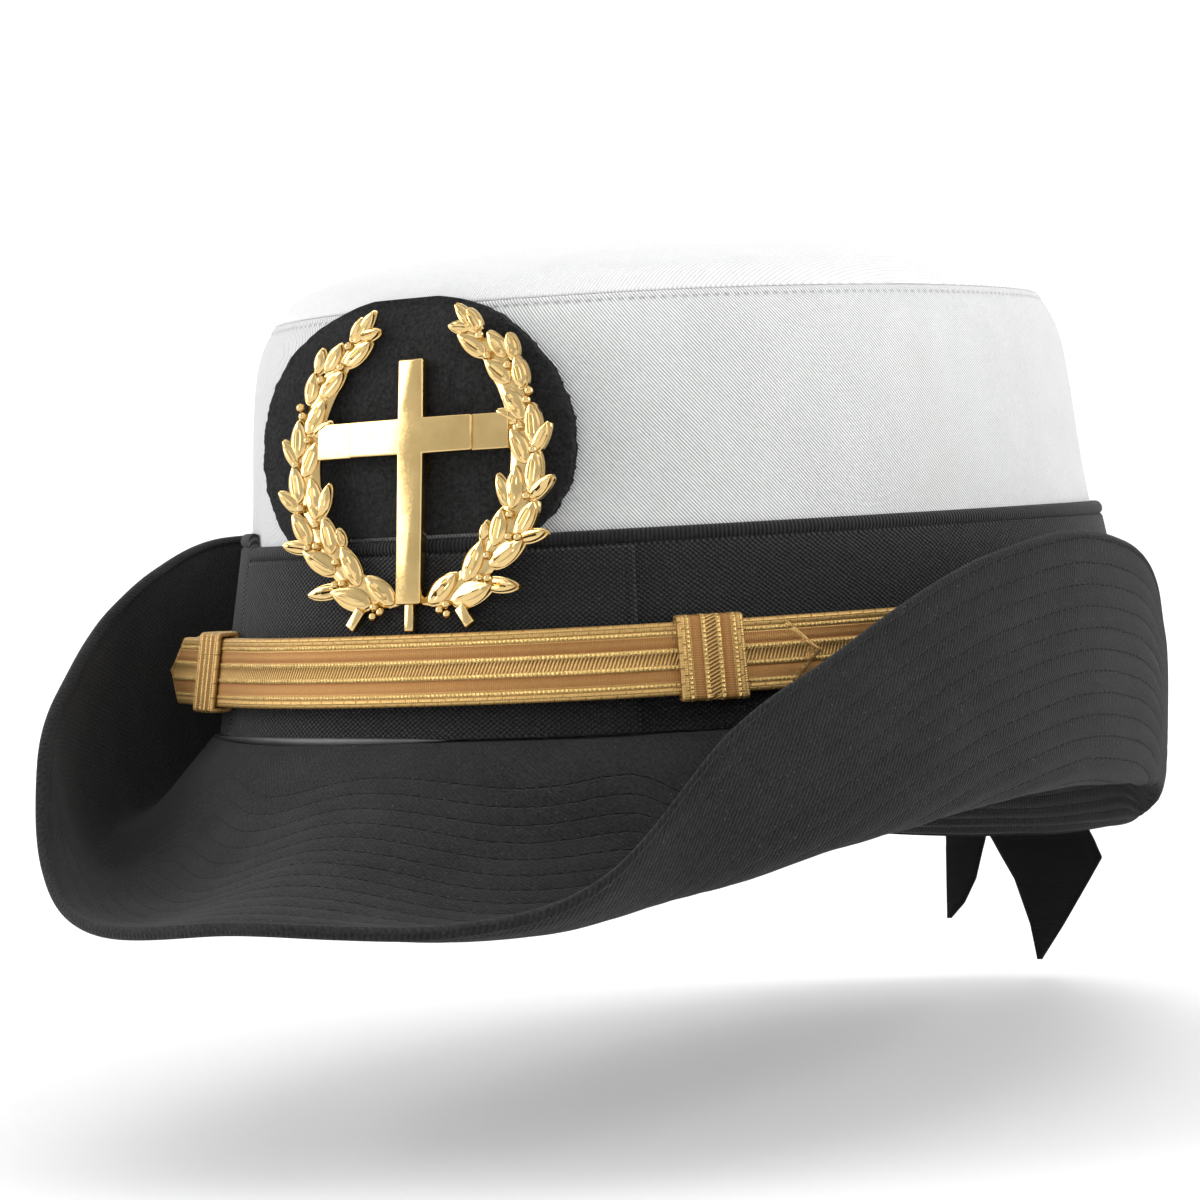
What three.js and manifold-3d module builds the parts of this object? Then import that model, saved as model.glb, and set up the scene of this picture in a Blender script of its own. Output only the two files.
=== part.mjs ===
// A woman's dress uniform hat: a white domed crown, a black elastic band, a black brim that is
// turned up at the sides, a gold lace chin strap, and a gilt wreath-and-cross badge on felt.
// Millimetres, +Z up, +X to the wearer's left, -Y to the front.
// The origin is the centre of the head opening, where the band meets the brim.
import * as THREE from 'three';
import { mergeVertices } from 'three/addons/utils/BufferGeometryUtils.js';
import Module from 'manifold-3d';

const wasm = await Module();
wasm.setup();

const GAP = 0.3; // left between pieces that touch
const OVAL_POWER = 2.2; // 2 is an ellipse, more is squarer
const RIGHT_ANGLE = Math.PI / 2;

const CROWN = { wall: 2, steps: 56 };
// The crown's outer face: half its length and width at each height, and how far it leans ahead.
const CROWN_ROWS = [
  { up: 0, halfLength: 98.4, halfWidth: 83.2, ahead: 0 },
  { up: 36, halfLength: 91.3, halfWidth: 77.2, ahead: 0.5 },
  { up: 60, halfLength: 88.8, halfWidth: 74.8, ahead: 1.7 },
  { up: 68, halfLength: 87.6, halfWidth: 73.8, ahead: 1.9 },
  { up: 73, halfLength: 86, halfWidth: 72.4, ahead: 2 },
  { up: 77.5, halfLength: 83.2, halfWidth: 70, ahead: 2.2 },
];
const FOOT = CROWN_ROWS[0];
const SEAM = CROWN_ROWS.at(-1);
// The domed top from its seam inwards: reach is a share of the seam oval, rise is above the seam.
const TIP = [
  { reach: 1, rise: 0 },
  { reach: 0.985, rise: 1.8 },
  { reach: 0.955, rise: 4.2 },
  { reach: 0.9, rise: 6.6 },
  { reach: 0.8, rise: 8.8 },
  { reach: 0.62, rise: 11 },
  { reach: 0.4, rise: 12.8 },
  { reach: 0.15, rise: 13.7 },
];
const BAND = { height: 35.5, thick: 1.5, roll: 2.4, rollOut: 0.4 };
const PANEL = { thick: 1, fromRight: -45, toLeft: 28, steps: 14 };

// The brim in upright sections round the head. At is in degrees from the front; out and up are
// the edge, knee is the corner that bends the section. On the wearer's right the edge is lift
// higher and spread further out, and the knee is sink higher.
const BRIM = { halfLength: 101, halfWidth: 85, thick: 2.5, steps: 96, sectionSteps: 8 };
const BRIM_SECTIONS = [
  { at: 0, out: 50.6, up: -27.7, kneeOut: 24.3, kneeUp: -23.9, lift: 0, spread: 0, sink: 0 },
  { at: 15, out: 47.4, up: -27.9, kneeOut: 23.5, kneeUp: -37, lift: 0, spread: 1.8, sink: 0.3 },
  { at: 25, out: 43, up: -21.2, kneeOut: 23.3, kneeUp: -41.2, lift: 2.3, spread: 0.7, sink: 1.3 },
  { at: 35, out: 35.5, up: 1.6, kneeOut: 31, kneeUp: -48.2, lift: 0.8, spread: -0.4, sink: 0 },
  { at: 45, out: 25.5, up: 12.5, kneeOut: 34.1, kneeUp: -43.5, lift: 1.8, spread: 1.3, sink: 0 },
  { at: 55, out: 20, up: 21.7, kneeOut: 30, kneeUp: -41.7, lift: 2.4, spread: 0.8, sink: 0 },
  { at: 65, out: 16, up: 27.5, kneeOut: 25, kneeUp: -39.5, lift: 4.4, spread: -0.4, sink: 0 },
  { at: 80, out: 13, up: 30.6, kneeOut: 17, kneeUp: -39.5, lift: 7, spread: 0, sink: 0 },
  { at: 95, out: 9, up: 25.4, kneeOut: 10.6, kneeUp: -44.2, lift: 9, spread: 0, sink: 0 },
  { at: 110, out: 5, up: 10.5, kneeOut: 3.6, kneeUp: -46.4, lift: 6, spread: 0, sink: 0 },
  { at: 125, out: 4.2, up: -6.2, kneeOut: 0.5, kneeUp: -48, lift: 1, spread: 0, sink: 0 },
  { at: 140, out: 6.8, up: -23.5, kneeOut: 4.8, kneeUp: -43.5, lift: 0, spread: 0, sink: 0 },
  { at: 155, out: 16, up: -33.6, kneeOut: 8, kneeUp: -40, lift: 0, spread: 0, sink: 0 },
  { at: 180, out: 30, up: -40, kneeOut: 14, kneeUp: -34, lift: 0, spread: 0, sink: 0 },
];

// The felt patch behind the badge: half its width at each height. Shift is towards the wearer's
// left, and curve bends the patch round the crown.
const FELT = { thick: 1.8, curve: 0.0047, steps: 12, shift: -3.2 };
const FELT_ROWS = [
  { up: 36.1, halfWidth: 27.5 },
  { up: 42, halfWidth: 31.5 },
  { up: 50, halfWidth: 34.2 },
  { up: 58, halfWidth: 33.9 },
  { up: 64, halfWidth: 31.6 },
  { up: 69, halfWidth: 28 },
  { up: 73, halfWidth: 23 },
  { up: 76.2, halfWidth: 15.6 },
  { up: 78.4, halfWidth: 5.5 },
];

// The badge stands upright in its own frame: x across, y up from its middle, z to the front.
// Shift is towards the wearer's left.
const BADGE = { low: 22, middle: 48, high: 68, shift: 1.7, plate: 1, relief: 2.4, postRadius: 2.5 };
const WREATH = {
  halfWidth: 23.2,
  halfHeight: 25.5,
  rise: 1.5,
  stripWidth: 7,
  from: 6,
  to: 157,
  stations: 10,
};
const LEAVES = [
  { turn: 30, across: 3.3, length: 9.5, width: 4.4 },
  { turn: -4, across: 0, length: 10, width: 4.6 },
  { turn: -30, across: -3.3, length: 9.5, width: 4.4 },
];
const CROSS = { foot: -24.4, head: 19.6, width: 5.3, armHeight: 6.6, armAt: 5.7, armReach: 21 };
const STEMS = [
  { x: 0, y: -25.8, turn: 0, length: 6, width: 2 },
  { x: 11, y: -25.6, turn: 40, length: 7, width: 2.4 },
  { x: -11, y: -25.6, turn: -40, length: 7, width: 2.4 },
];

const STRAP = {
  height: 12.7,
  middle: 12.4,
  thick: 0.9,
  point: 6.5,
  leaves: -31,
  free: 33.5,
  tipAt: 49.5,
  lean: 0.165,
};
const STRAP_ANGLES = [96, 90, 83, 76, 69, 62, 55.5, 49.5, 43, 37, 31, 25, 17, 9, 1, -7, -15, -23];
// How far the inner strap's middle stands off the crown, by angle in degrees.
const STRAP_STANDOFF = [
  { at: -31, out: 4.95 },
  { at: 24, out: 4.95 },
  { at: 37, out: 3.65 },
  { at: 60, out: 2.9 },
  { at: 96, out: 2.6 },
];
// Behind the keeper on the wearer's right the inner strap swings back to the band.
const STRAP_RETURN = [
  { at: -66, out: 6.4 },
  { at: -76, out: 3.6 },
  { at: -84, out: 2.7 },
  { at: -90, out: 2.6 },
  { at: -96, out: 2.6 },
];
const KEEPER = { width: 13.5, wall: 0.8, fromLeftTip: 20.2, fromRightTip: 25.5 };
const BUTTON = { radius: 6, thick: 2.6, at: 90 };

// Two ribbon tails sewn in at the back. Along is a share of the way from the band over the brim's
// edge and down, and from and to are the ribbon's two sides. Drop is below the edge.
const TAIL = { thick: 1, gap: 0.5, drop: 29.5 };
const TAILS = {
  ribbon_tail_left: [
    { along: 0, from: 2, to: 15 },
    { along: 0.45, from: 1, to: 20 },
    { along: 0.68, from: -0.8, to: 24.6 },
    { along: 0.76, from: 1, to: 27.6 },
    { along: 0.88, from: 5.6, to: 20.6 },
    { along: 1, from: 9.6, to: 11 },
  ],
  ribbon_tail_right: [
    { along: 0, from: -17, to: -4.5 },
    { along: 0.45, from: -15, to: -3 },
    { along: 0.7, from: -12.2, to: -1.8 },
    { along: 0.78, from: -12, to: -3.4 },
    { along: 0.85, from: -11.9, to: -7.6 },
    { along: 0.9, from: -11.8, to: -10.8 },
  ],
};

const radians = THREE.MathUtils.degToRad;
const { lerp, clamp } = THREE.MathUtils;

// Point of an oval at an angle from the front, positive to the wearer's left.
function ovalPoint(angle, halfLength, halfWidth) {
  const power = 2 / OVAL_POWER;
  const side = Math.sin(angle);
  const ahead = Math.cos(angle);
  return new THREE.Vector2(
    halfWidth * Math.sign(side) * Math.abs(side) ** power,
    -halfLength * Math.sign(ahead) * Math.abs(ahead) ** power,
  );
}

// Level direction that points straight out of the head oval.
function outwards(angle) {
  const power = 2 - 2 / OVAL_POWER;
  const side = Math.sin(angle);
  const ahead = Math.cos(angle);
  return new THREE.Vector2(
    (Math.sign(side) * Math.abs(side) ** power) / FOOT.halfWidth,
    (-Math.sign(ahead) * Math.abs(ahead) ** power) / FOOT.halfLength,
  ).normalize();
}

// Point at a height on the crown's outer face, moved straight out.
function crownPoint(angle, up, out) {
  const row = (name) => column(CROWN_ROWS, 'up', name, up);
  const spot = ovalPoint(angle, row('halfLength'), row('halfWidth'));
  spot.addScaledVector(outwards(angle), out);
  return new THREE.Vector3(spot.x, spot.y - row('ahead'), up);
}

function around(steps, place) {
  return Array.from({ length: steps }, (_, i) => place((i / steps) * 2 * Math.PI - Math.PI));
}

// Steps from 0 to 1, both ends included.
function shares(steps) {
  return Array.from({ length: steps + 1 }, (_, i) => i / steps);
}

// A column of a table at any place along another column, on straight lines between its rows.
function column(table, key, name, at) {
  const last = table.length - 1;
  const next = clamp(table.findIndex((row) => row[key] >= at), 0, last);
  const high = at > table[last][key] ? last : Math.max(next, 1);
  const [below, above] = [table[high - 1], table[high]];
  return lerp(below[name], above[name], clamp((at - below[key]) / (above[key] - below[key]), 0, 1));
}

// A brim column at any angle, on a smooth curve that is level at the front and at the back.
function brimColumn(name, degrees) {
  const rows = BRIM_SECTIONS;
  const at = Math.abs(degrees);
  const high = Math.max(rows.findIndex((row) => row.at >= at), 1);
  const slope = (i) => {
    const [before, after] = [rows[i - 1], rows[i + 1]];
    return before && after ? (after[name] - before[name]) / (after.at - before.at) : 0;
  };
  const [below, above] = [rows[high - 1], rows[high]];
  const span = above.at - below.at;
  const t = (at - below.at) / span;
  const [t2, t3] = [t * t, t * t * t];
  return (
    (2 * t3 - 3 * t2 + 1) * below[name] +
    (t3 - 2 * t2 + t) * span * slope(high - 1) +
    (3 * t2 - 2 * t3) * above[name] +
    (t3 - t2) * span * slope(high)
  );
}

function solid(points, triangles) {
  const geometry = new THREE.BufferGeometry();
  geometry.setAttribute('position', new THREE.Float32BufferAttribute(points, 3));
  geometry.setIndex(triangles);
  geometry.computeVertexNormals();
  return geometry;
}

// Six times the volume inside a closed set of triangles, negative if they face inwards.
function signedVolume(points, triangles) {
  let sum = 0;
  for (let i = 0; i < triangles.length; i += 3) {
    const [a, b, c] = [0, 1, 2].map((k) => points[triangles[i + k]]);
    sum += a.dot(b.clone().cross(c));
  }
  return sum;
}

// A solid skinned over loops of points. A ring joins its last loop to its first;
// otherwise each end loop is closed by a strip across it.
function skin(loops, ring = false) {
  const size = loops[0].length;
  const last = (loops.length - 1) * size;
  const points = loops.flat();
  const triangles = [];
  const quad = (a, b, c, d) => triangles.push(a, b, c, a, c, d);
  for (let row = 0; row < loops.length - (ring ? 0 : 1); row += 1) {
    const here = row * size;
    const next = ((row + 1) % loops.length) * size;
    for (let i = 0; i < size; i += 1) {
      const j = (i + 1) % size;
      quad(here + i, here + j, next + j, next + i);
    }
  }
  for (let i = 0; !ring && i < size / 2 - 1; i += 1) {
    quad(size - 1 - i, size - 2 - i, i + 1, i);
    quad(last + i, last + i + 1, last + size - 2 - i, last + size - 1 - i);
  }
  if (signedVolume(points, triangles) < 0) triangles.reverse();
  return solid(points.flatMap((p) => p.toArray()), triangles);
}

// One solid from several overlapping ones.
function fuse(geometries) {
  const solids = geometries.map((geometry) => {
    const bare = geometry.clone();
    bare.deleteAttribute('normal');
    bare.deleteAttribute('uv');
    const merged = mergeVertices(bare, 1e-5);
    return new wasm.Manifold(new wasm.Mesh({
      numProp: 3,
      vertProperties: new Float32Array(merged.attributes.position.array),
      triVerts: new Uint32Array(merged.index.array),
    }));
  });
  const mesh = solids.reduce((all, one) => all.add(one)).getMesh();
  return solid(Array.from(mesh.vertProperties), Array.from(mesh.triVerts));
}

function crownRing(profile) {
  return skin(profile.map(([out, up]) => around(CROWN.steps, (a) => crownPoint(a, up, out))), true);
}

function crownSide() {
  const heights = CROWN_ROWS.map((row) => Math.min(row.up, SEAM.up - GAP));
  const face = (out) => heights.map((up) => [out, up]);
  return crownRing([...face(0), ...face(-CROWN.wall).reverse()]);
}

function crownTip() {
  const inside = 1 - CROWN.wall / SEAM.halfLength;
  const loop = (reach, rise) => around(CROWN.steps, (angle) => {
    const seam = ovalPoint(angle, SEAM.halfLength, SEAM.halfWidth).multiplyScalar(reach);
    return new THREE.Vector3(seam.x, seam.y - SEAM.ahead, SEAM.up + rise);
  });
  const outer = TIP.map((row) => loop(row.reach, row.rise));
  const inner = TIP.filter((row) => row.rise > CROWN.wall)
    .map((row) => loop(row.reach * inside, row.rise - CROWN.wall));
  return skin([...inner.reverse(), loop(inside, 0), ...outer]);
}

function hatBand() {
  const face = GAP + BAND.thick;
  const roll = face + BAND.rollOut;
  return crownRing([
    [GAP, 0],
    [face, 0],
    [face, BAND.height - BAND.roll],
    [roll, BAND.height - BAND.roll + BAND.rollOut],
    [roll, BAND.height - BAND.rollOut],
    [face, BAND.height],
    [GAP, BAND.height],
  ]);
}

function bandPanel() {
  const inner = GAP + BAND.thick + GAP;
  const outer = inner + PANEL.thick;
  const top = BAND.height - BAND.roll - GAP;
  return skin(shares(PANEL.steps).map((share) => {
    const angle = radians(lerp(PANEL.fromRight, PANEL.toLeft, share));
    return [[inner, 0], [outer, 0], [outer, top], [inner, top]]
      .map(([out, up]) => crownPoint(angle, up, out));
  }));
}

// Both faces of the brim at an angle, from the band to the edge, beside the middle line.
function brimFaces(angle) {
  const degrees = THREE.MathUtils.radToDeg(angle);
  const half = BRIM.thick / 2;
  const value = (name) => brimColumn(name, degrees);
  const right = angle < 0 ? 1 : 0;
  const curve = new THREE.QuadraticBezierCurve(
    new THREE.Vector2(0, -GAP - half),
    new THREE.Vector2(value('kneeOut'), value('kneeUp') + right * value('sink')),
    new THREE.Vector2(value('out') + right * value('spread'), value('up') + right * value('lift')),
  );
  const faces = { top: [], under: [] };
  for (const share of shares(BRIM.sectionSteps)) {
    const spot = curve.getPoint(share);
    const along = curve.getTangent(share);
    const normal = new THREE.Vector2(-along.y, along.x).multiplyScalar(half);
    faces.top.push(spot.clone().add(normal));
    faces.under.push(spot.clone().sub(normal));
  }
  return faces;
}

function brimPoint(angle, { x: out, y: up }) {
  const spot = ovalPoint(angle, BRIM.halfLength, BRIM.halfWidth);
  spot.addScaledVector(outwards(angle), out);
  return new THREE.Vector3(spot.x, spot.y, up);
}

function brim() {
  const sections = around(BRIM.steps, (angle) => {
    const faces = brimFaces(angle);
    const seat = crownPoint(angle, 0, -CROWN.wall).setZ(-GAP);
    return [
      seat,
      ...faces.top.map((spot) => brimPoint(angle, spot)),
      ...faces.under.reverse().map((spot) => brimPoint(angle, spot)),
      seat.clone().setZ(-GAP - BRIM.thick),
    ];
  });
  const loops = sections[0].map((_, i) => sections.map((section) => section[i]));
  return skin(loops, true);
}

function feltPatch() {
  const point = (share, up, out) => {
    const x = lerp(-1, 1, share) * column(FELT_ROWS, 'up', 'halfWidth', up) + FELT.shift;
    const middle = crownPoint(0, up, GAP + out);
    return new THREE.Vector3(x, middle.y + FELT.curve * x * x, up);
  };
  return skin(FELT_ROWS.map(({ up }) => [
    ...shares(FELT.steps).map((share) => point(share, up, FELT.thick)),
    ...shares(FELT.steps).reverse().map((share) => point(share, up, 0)),
  ]));
}

// The badge leans on the band's front panel below and on the felt above.
const badgeFoot = crownPoint(0, BADGE.low, 3 * GAP + BAND.thick + PANEL.thick);
const badgeHead = crownPoint(0, BADGE.high, 3 * GAP + FELT.thick);
const badgeUp = (BADGE.middle - BADGE.low) / (BADGE.high - BADGE.low);
const badgeMiddle = badgeFoot.clone().lerp(badgeHead, badgeUp).setX(BADGE.shift);
const feltFace = crownPoint(0, BADGE.middle, GAP + FELT.thick);

// Middle of a wreath branch at an angle up from the bottom; side is 1 or -1.
function wreathPoint(angle, side, across) {
  const x = (WREATH.halfWidth + across) * Math.sin(angle) * side;
  const y = WREATH.rise - (WREATH.halfHeight + across) * Math.cos(angle);
  return new THREE.Vector2(x, y);
}

function wreathStrip(side) {
  const half = WREATH.stripWidth / 2;
  return skin(shares(WREATH.stations * 2).map((share) => {
    const angle = radians(lerp(0, WREATH.to, share));
    const width = half * Math.min(1, (1 - share) * 5 + 0.3);
    return [[-width, 0], [width, 0], [width, BADGE.plate], [-width, BADGE.plate]].map(([across, z]) => {
      const spot = wreathPoint(angle, side, across);
      return new THREE.Vector3(spot.x, spot.y, z);
    });
  }));
}

// Laurel leaves are long low pyramids that stand out of the strip, three at each station.
function wreathLeaves(side) {
  const leaves = [];
  for (const share of shares(WREATH.stations - 1)) {
    const angle = radians(lerp(WREATH.from, WREATH.to, share));
    for (const leaf of LEAVES) {
      const spot = wreathPoint(angle, side, leaf.across);
      const ahead = wreathPoint(angle + 0.1, side, leaf.across).sub(spot);
      const height = BADGE.relief - BADGE.plate / 2;
      const geometry = new THREE.ConeGeometry(1, 1, 4).rotateX(RIGHT_ANGLE);
      geometry.scale(leaf.length / 2, leaf.width / 2, height);
      geometry.rotateZ(ahead.angle() - side * radians(leaf.turn));
      geometry.translate(spot.x, spot.y, BADGE.relief - height / 2);
      leaves.push(geometry);
    }
  }
  return leaves;
}

function bar(width, height, depth, x, y) {
  return new THREE.BoxGeometry(width, height, depth).translate(x, y, depth / 2);
}

function badge() {
  const { foot, head, width, armHeight, armAt, armReach } = CROSS;
  const upright = bar(width, head - foot, BADGE.relief, 0, (head + foot) / 2);
  const arms = bar(armReach * 2, armHeight, BADGE.relief, 0, armAt);
  const stems = STEMS.map((stem) => {
    const piece = bar(stem.width, stem.length, BADGE.plate * 1.6, 0, 0);
    return piece.rotateZ(radians(stem.turn)).translate(stem.x, stem.y, 0);
  });
  const standoff = feltFace.y - badgeMiddle.y - GAP;
  const post = new THREE.CylinderGeometry(BADGE.postRadius, BADGE.postRadius, standoff + BADGE.plate, 16);
  post.rotateX(RIGHT_ANGLE).translate(0, 0, (BADGE.plate - standoff) / 2);
  const sides = [-1, 1].flatMap((side) => [wreathStrip(side), ...wreathLeaves(side)]);
  return fuse([...sides, upright, arms, ...stems, post]);
}

// Point on a strap's route at an angle from the front, standing off the crown.
function strapStation(degrees, out) {
  const angle = radians(degrees);
  const spot = crownPoint(angle, STRAP.middle, out);
  return new THREE.Vector3(spot.x, spot.y, STRAP.middle);
}

function strapRoute(layer) {
  const shift = layer * (STRAP.thick + GAP);
  const start = layer ? STRAP.tipAt : STRAP_ANGLES[0];
  const stations = STRAP_ANGLES.filter((at) => at <= start)
    .map((at) => strapStation(at, column(STRAP_STANDOFF, 'at', 'out', at) + shift));
  const leave = strapStation(STRAP.leaves, STRAP_STANDOFF[0].out + shift);
  const ahead = strapStation(STRAP.leaves - 1, STRAP_STANDOFF[0].out + shift).sub(leave).normalize();
  const free = layer ? [0, 11, 20, STRAP.free] : [0, 11, 20, 23.5];
  for (const run of free) stations.push(leave.clone().addScaledVector(ahead, run));
  if (!layer) for (const row of STRAP_RETURN) stations.push(strapStation(row.at, row.out));
  return new THREE.CatmullRomCurve3(stations);
}

// Four corners of a flat strip's section on a level route.
function stripSection(route, share, halfHeight, inner, outer) {
  const spot = route.getPointAt(share);
  const along = route.getTangentAt(share);
  const out = new THREE.Vector3(-along.y, along.x, 0).normalize();
  if (out.dot(new THREE.Vector3(spot.x, spot.y, 0)) < 0) out.negate();
  return [[inner, -halfHeight], [outer, -halfHeight], [outer, halfHeight], [inner, halfHeight]]
    .map(([across, up]) => {
      const corner = spot.clone().addScaledVector(out, across - up * STRAP.lean);
      return corner.setZ(spot.z + up);
    });
}

function strap(route, pointed) {
  const length = route.getLength();
  const full = STRAP.height / 2;
  const rows = shares(56);
  const ends = pointed ? [STRAP.point / length, 1 - STRAP.point / length] : [];
  const stops = [...rows, ...ends].sort((a, b) => a - b);
  return skin(stops.map((share) => {
    const toEnd = Math.min(share, 1 - share) * length;
    const half = pointed ? full * clamp(toEnd / STRAP.point, 0.08, 1) : full;
    return stripSection(route, share, half, -STRAP.thick / 2, STRAP.thick / 2);
  }));
}

// A flat loop round both straps, centred at a distance along the outer strap.
function keeper(route, distance) {
  const length = route.getLength();
  const inner = -STRAP.thick * 1.5 - 2 * GAP;
  const outer = STRAP.thick / 2 + GAP;
  const half = STRAP.height / 2 + GAP;
  const rings = shares(4).map((share) => {
    const place = (distance + lerp(-0.5, 0.5, share) * KEEPER.width) / length;
    return {
      hole: stripSection(route, place, half, inner, outer),
      skin: stripSection(route, place, half + KEEPER.wall, inner - KEEPER.wall, outer + KEEPER.wall),
    };
  });
  const outside = rings.map((ring) => ring.skin);
  const inside = rings.map((ring) => ring.hole).reverse();
  return skin([...outside, ...inside], true);
}

// A domed gilt button that holds the strap's hidden end.
function button() {
  const profile = [
    [0, 0],
    [BUTTON.radius, 0],
    [BUTTON.radius, 0.8],
    [BUTTON.radius * 0.8, BUTTON.thick * 0.75],
    [BUTTON.radius * 0.4, BUTTON.thick * 0.96],
    [0, BUTTON.thick],
  ].map(([x, y]) => new THREE.Vector2(x, y));
  return new THREE.LatheGeometry(profile, 20);
}

// A ribbon tail lies on the brim's back, turns over its edge and hangs straight down.
function tailPath() {
  const lying = brimFaces(Math.PI).top.slice(1);
  const clear = TAIL.gap + TAIL.thick / 2;
  const out = BRIM.halfLength;
  const spots = lying.map((spot, i) => {
    const ahead = (lying[i + 1] ?? spot).clone().sub(lying[i + 1] ? spot : lying[i - 1]).normalize();
    return new THREE.Vector3(0, out + spot.x - ahead.y * clear, spot.y + ahead.x * clear);
  });
  const edge = spots.at(-1);
  const hang = edge.clone().add(new THREE.Vector3(0, BRIM.thick * 0.6, -BRIM.thick * 1.2));
  const end = hang.clone().setZ(brimColumn('up', 180) - TAIL.drop);
  const middle = hang.clone().lerp(end, 0.5);
  return new THREE.CatmullRomCurve3([...spots, hang, middle, end]);
}

function ribbonTail(rows) {
  const path = tailPath();
  const steps = shares(20).map((share) => share * rows.at(-1).along);
  return skin(steps.map((share) => {
    const spot = path.getPointAt(share);
    const along = path.getTangentAt(share);
    const normal = new THREE.Vector3(0, -along.z, along.y).multiplyScalar(TAIL.thick / 2);
    const [from, to] = ['from', 'to'].map((name) => column(rows, 'along', name, share));
    return [[from, -1], [to, -1], [to, 1], [from, 1]]
      .map(([x, face]) => spot.clone().addScaledVector(normal, face).setX(x));
  }));
}

const finishes = {
  whiteTwill: { color: 0xf1f1f3, roughness: 0.85, metalness: 0 },
  blackElastic: { color: 0x17171a, roughness: 0.8, metalness: 0 },
  blackTwill: { color: 0x1d1d20, roughness: 0.85, metalness: 0 },
  blackFelt: { color: 0x101012, roughness: 0.98, metalness: 0 },
  goldLace: { color: 0xcf9a4e, roughness: 0.5, metalness: 0.4 },
  gilt: { color: 0xe6c36a, roughness: 0.2, metalness: 1 },
  blackRibbon: { color: 0x111113, roughness: 0.6, metalness: 0 },
};

const hat = new THREE.Group();

function add(name, geometry, finish) {
  const mesh = new THREE.Mesh(geometry, new THREE.MeshStandardMaterial(finishes[finish]));
  mesh.name = name;
  hat.add(mesh);
  return mesh;
}

add('crown_side', crownSide(), 'whiteTwill');
add('crown_tip', crownTip(), 'whiteTwill');
add('hat_band', hatBand(), 'blackElastic');
add('band_front_panel', bandPanel(), 'blackElastic');
add('brim', brim(), 'blackTwill');
add('badge_backing', feltPatch(), 'blackFelt');

const badgeMesh = add('cap_badge', badge(), 'gilt');
badgeMesh.position.copy(badgeMiddle);
badgeMesh.rotation.x = Math.atan2(badgeHead.z - badgeFoot.z, badgeHead.y - badgeFoot.y);

const innerRoute = strapRoute(0);
const outerRoute = strapRoute(1);
add('chin_strap_inner', strap(innerRoute, false), 'goldLace');
add('chin_strap_outer', strap(outerRoute, true), 'goldLace');
add('strap_keeper_left', keeper(outerRoute, KEEPER.fromLeftTip), 'goldLace');
add('strap_keeper_right', keeper(outerRoute, outerRoute.getLength() - KEEPER.fromRightTip), 'goldLace');

for (const [side, name] of [[1, 'strap_button_left'], [-1, 'strap_button_right']]) {
  const angle = radians(side * BUTTON.at);
  const out = STRAP_STANDOFF.at(-1).out + STRAP.thick / 2 + 2 * GAP;
  const mesh = add(name, button(), 'gilt');
  mesh.position.copy(crownPoint(angle, STRAP.middle, out));
  const facing = new THREE.Vector3(side, 0, STRAP.lean).normalize();
  mesh.quaternion.setFromUnitVectors(new THREE.Vector3(0, 1, 0), facing);
}

for (const [name, rows] of Object.entries(TAILS)) {
  add(name, ribbonTail(rows), 'blackRibbon');
}

export default hat;
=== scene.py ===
import bpy
import bisect
import math
from mathutils import Matrix, Vector, noise


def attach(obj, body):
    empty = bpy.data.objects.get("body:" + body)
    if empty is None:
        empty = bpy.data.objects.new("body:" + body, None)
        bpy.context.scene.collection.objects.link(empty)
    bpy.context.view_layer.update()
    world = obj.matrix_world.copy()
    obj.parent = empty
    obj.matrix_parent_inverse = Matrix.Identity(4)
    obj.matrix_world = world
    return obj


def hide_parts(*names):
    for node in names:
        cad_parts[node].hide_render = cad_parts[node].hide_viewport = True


# A women's dress uniform hat. Sizes in the dictionaries are millimetres and degrees;
# +x is the wearer's left, -y the front, and the origin is the middle of the head opening.
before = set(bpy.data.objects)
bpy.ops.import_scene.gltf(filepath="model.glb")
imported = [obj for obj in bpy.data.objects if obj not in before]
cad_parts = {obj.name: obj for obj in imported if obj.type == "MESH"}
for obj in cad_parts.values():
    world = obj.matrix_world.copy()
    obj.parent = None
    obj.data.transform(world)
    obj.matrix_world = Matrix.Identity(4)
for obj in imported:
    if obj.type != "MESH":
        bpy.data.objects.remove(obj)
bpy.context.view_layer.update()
mm = 0.001


# Shared shapes.
hat = {"gap": 0.3, "ovalPower": 2.2, "footLength": 98.4, "footWidth": 83.2}


def ovalPoint(angle, halfLength, halfWidth):  # angle in radians from the front
    power = 2 / hat["ovalPower"]
    side, ahead = math.sin(angle), math.cos(angle)
    return (halfWidth * math.copysign(abs(side) ** power, side),
            -halfLength * math.copysign(abs(ahead) ** power, ahead))


def outwards(angle):  # level direction straight out of the head oval
    power = 2 - 2 / hat["ovalPower"]
    side, ahead = math.sin(angle), math.cos(angle)
    x = math.copysign(abs(side) ** power, side) / hat["footWidth"]
    y = -math.copysign(abs(ahead) ** power, ahead) / hat["footLength"]
    size = math.hypot(x, y)
    return x / size, y / size


def between(low, high, share):
    return low + (high - low) * share


def limit(value, low, high):
    return max(low, min(high, value))


def smoothStep(value):
    value = limit(value, 0, 1)
    return value * value * (3 - 2 * value)


def table(names, *rows):  # a dictionary for each row
    return [dict(zip(names.split(), row)) for row in rows]


def straightAt(rows, key, name, place):  # straight lines between the rows
    if place <= rows[0][key]:
        return rows[0][name]
    for below, above in zip(rows, rows[1:]):
        if place <= above[key]:
            return between(below[name], above[name], (place - below[key]) / (above[key] - below[key]))
    return rows[-1][name]


def curveAt(share, first, last, leave, arrive):  # between two places, by the slopes there
    t2, t3 = share * share, share * share * share
    return ((2 * t3 - 3 * t2 + 1) * first + (t3 - 2 * t2 + share) * leave
            + (3 * t2 - 2 * t3) * last + (t3 - t2) * arrive)


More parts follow.
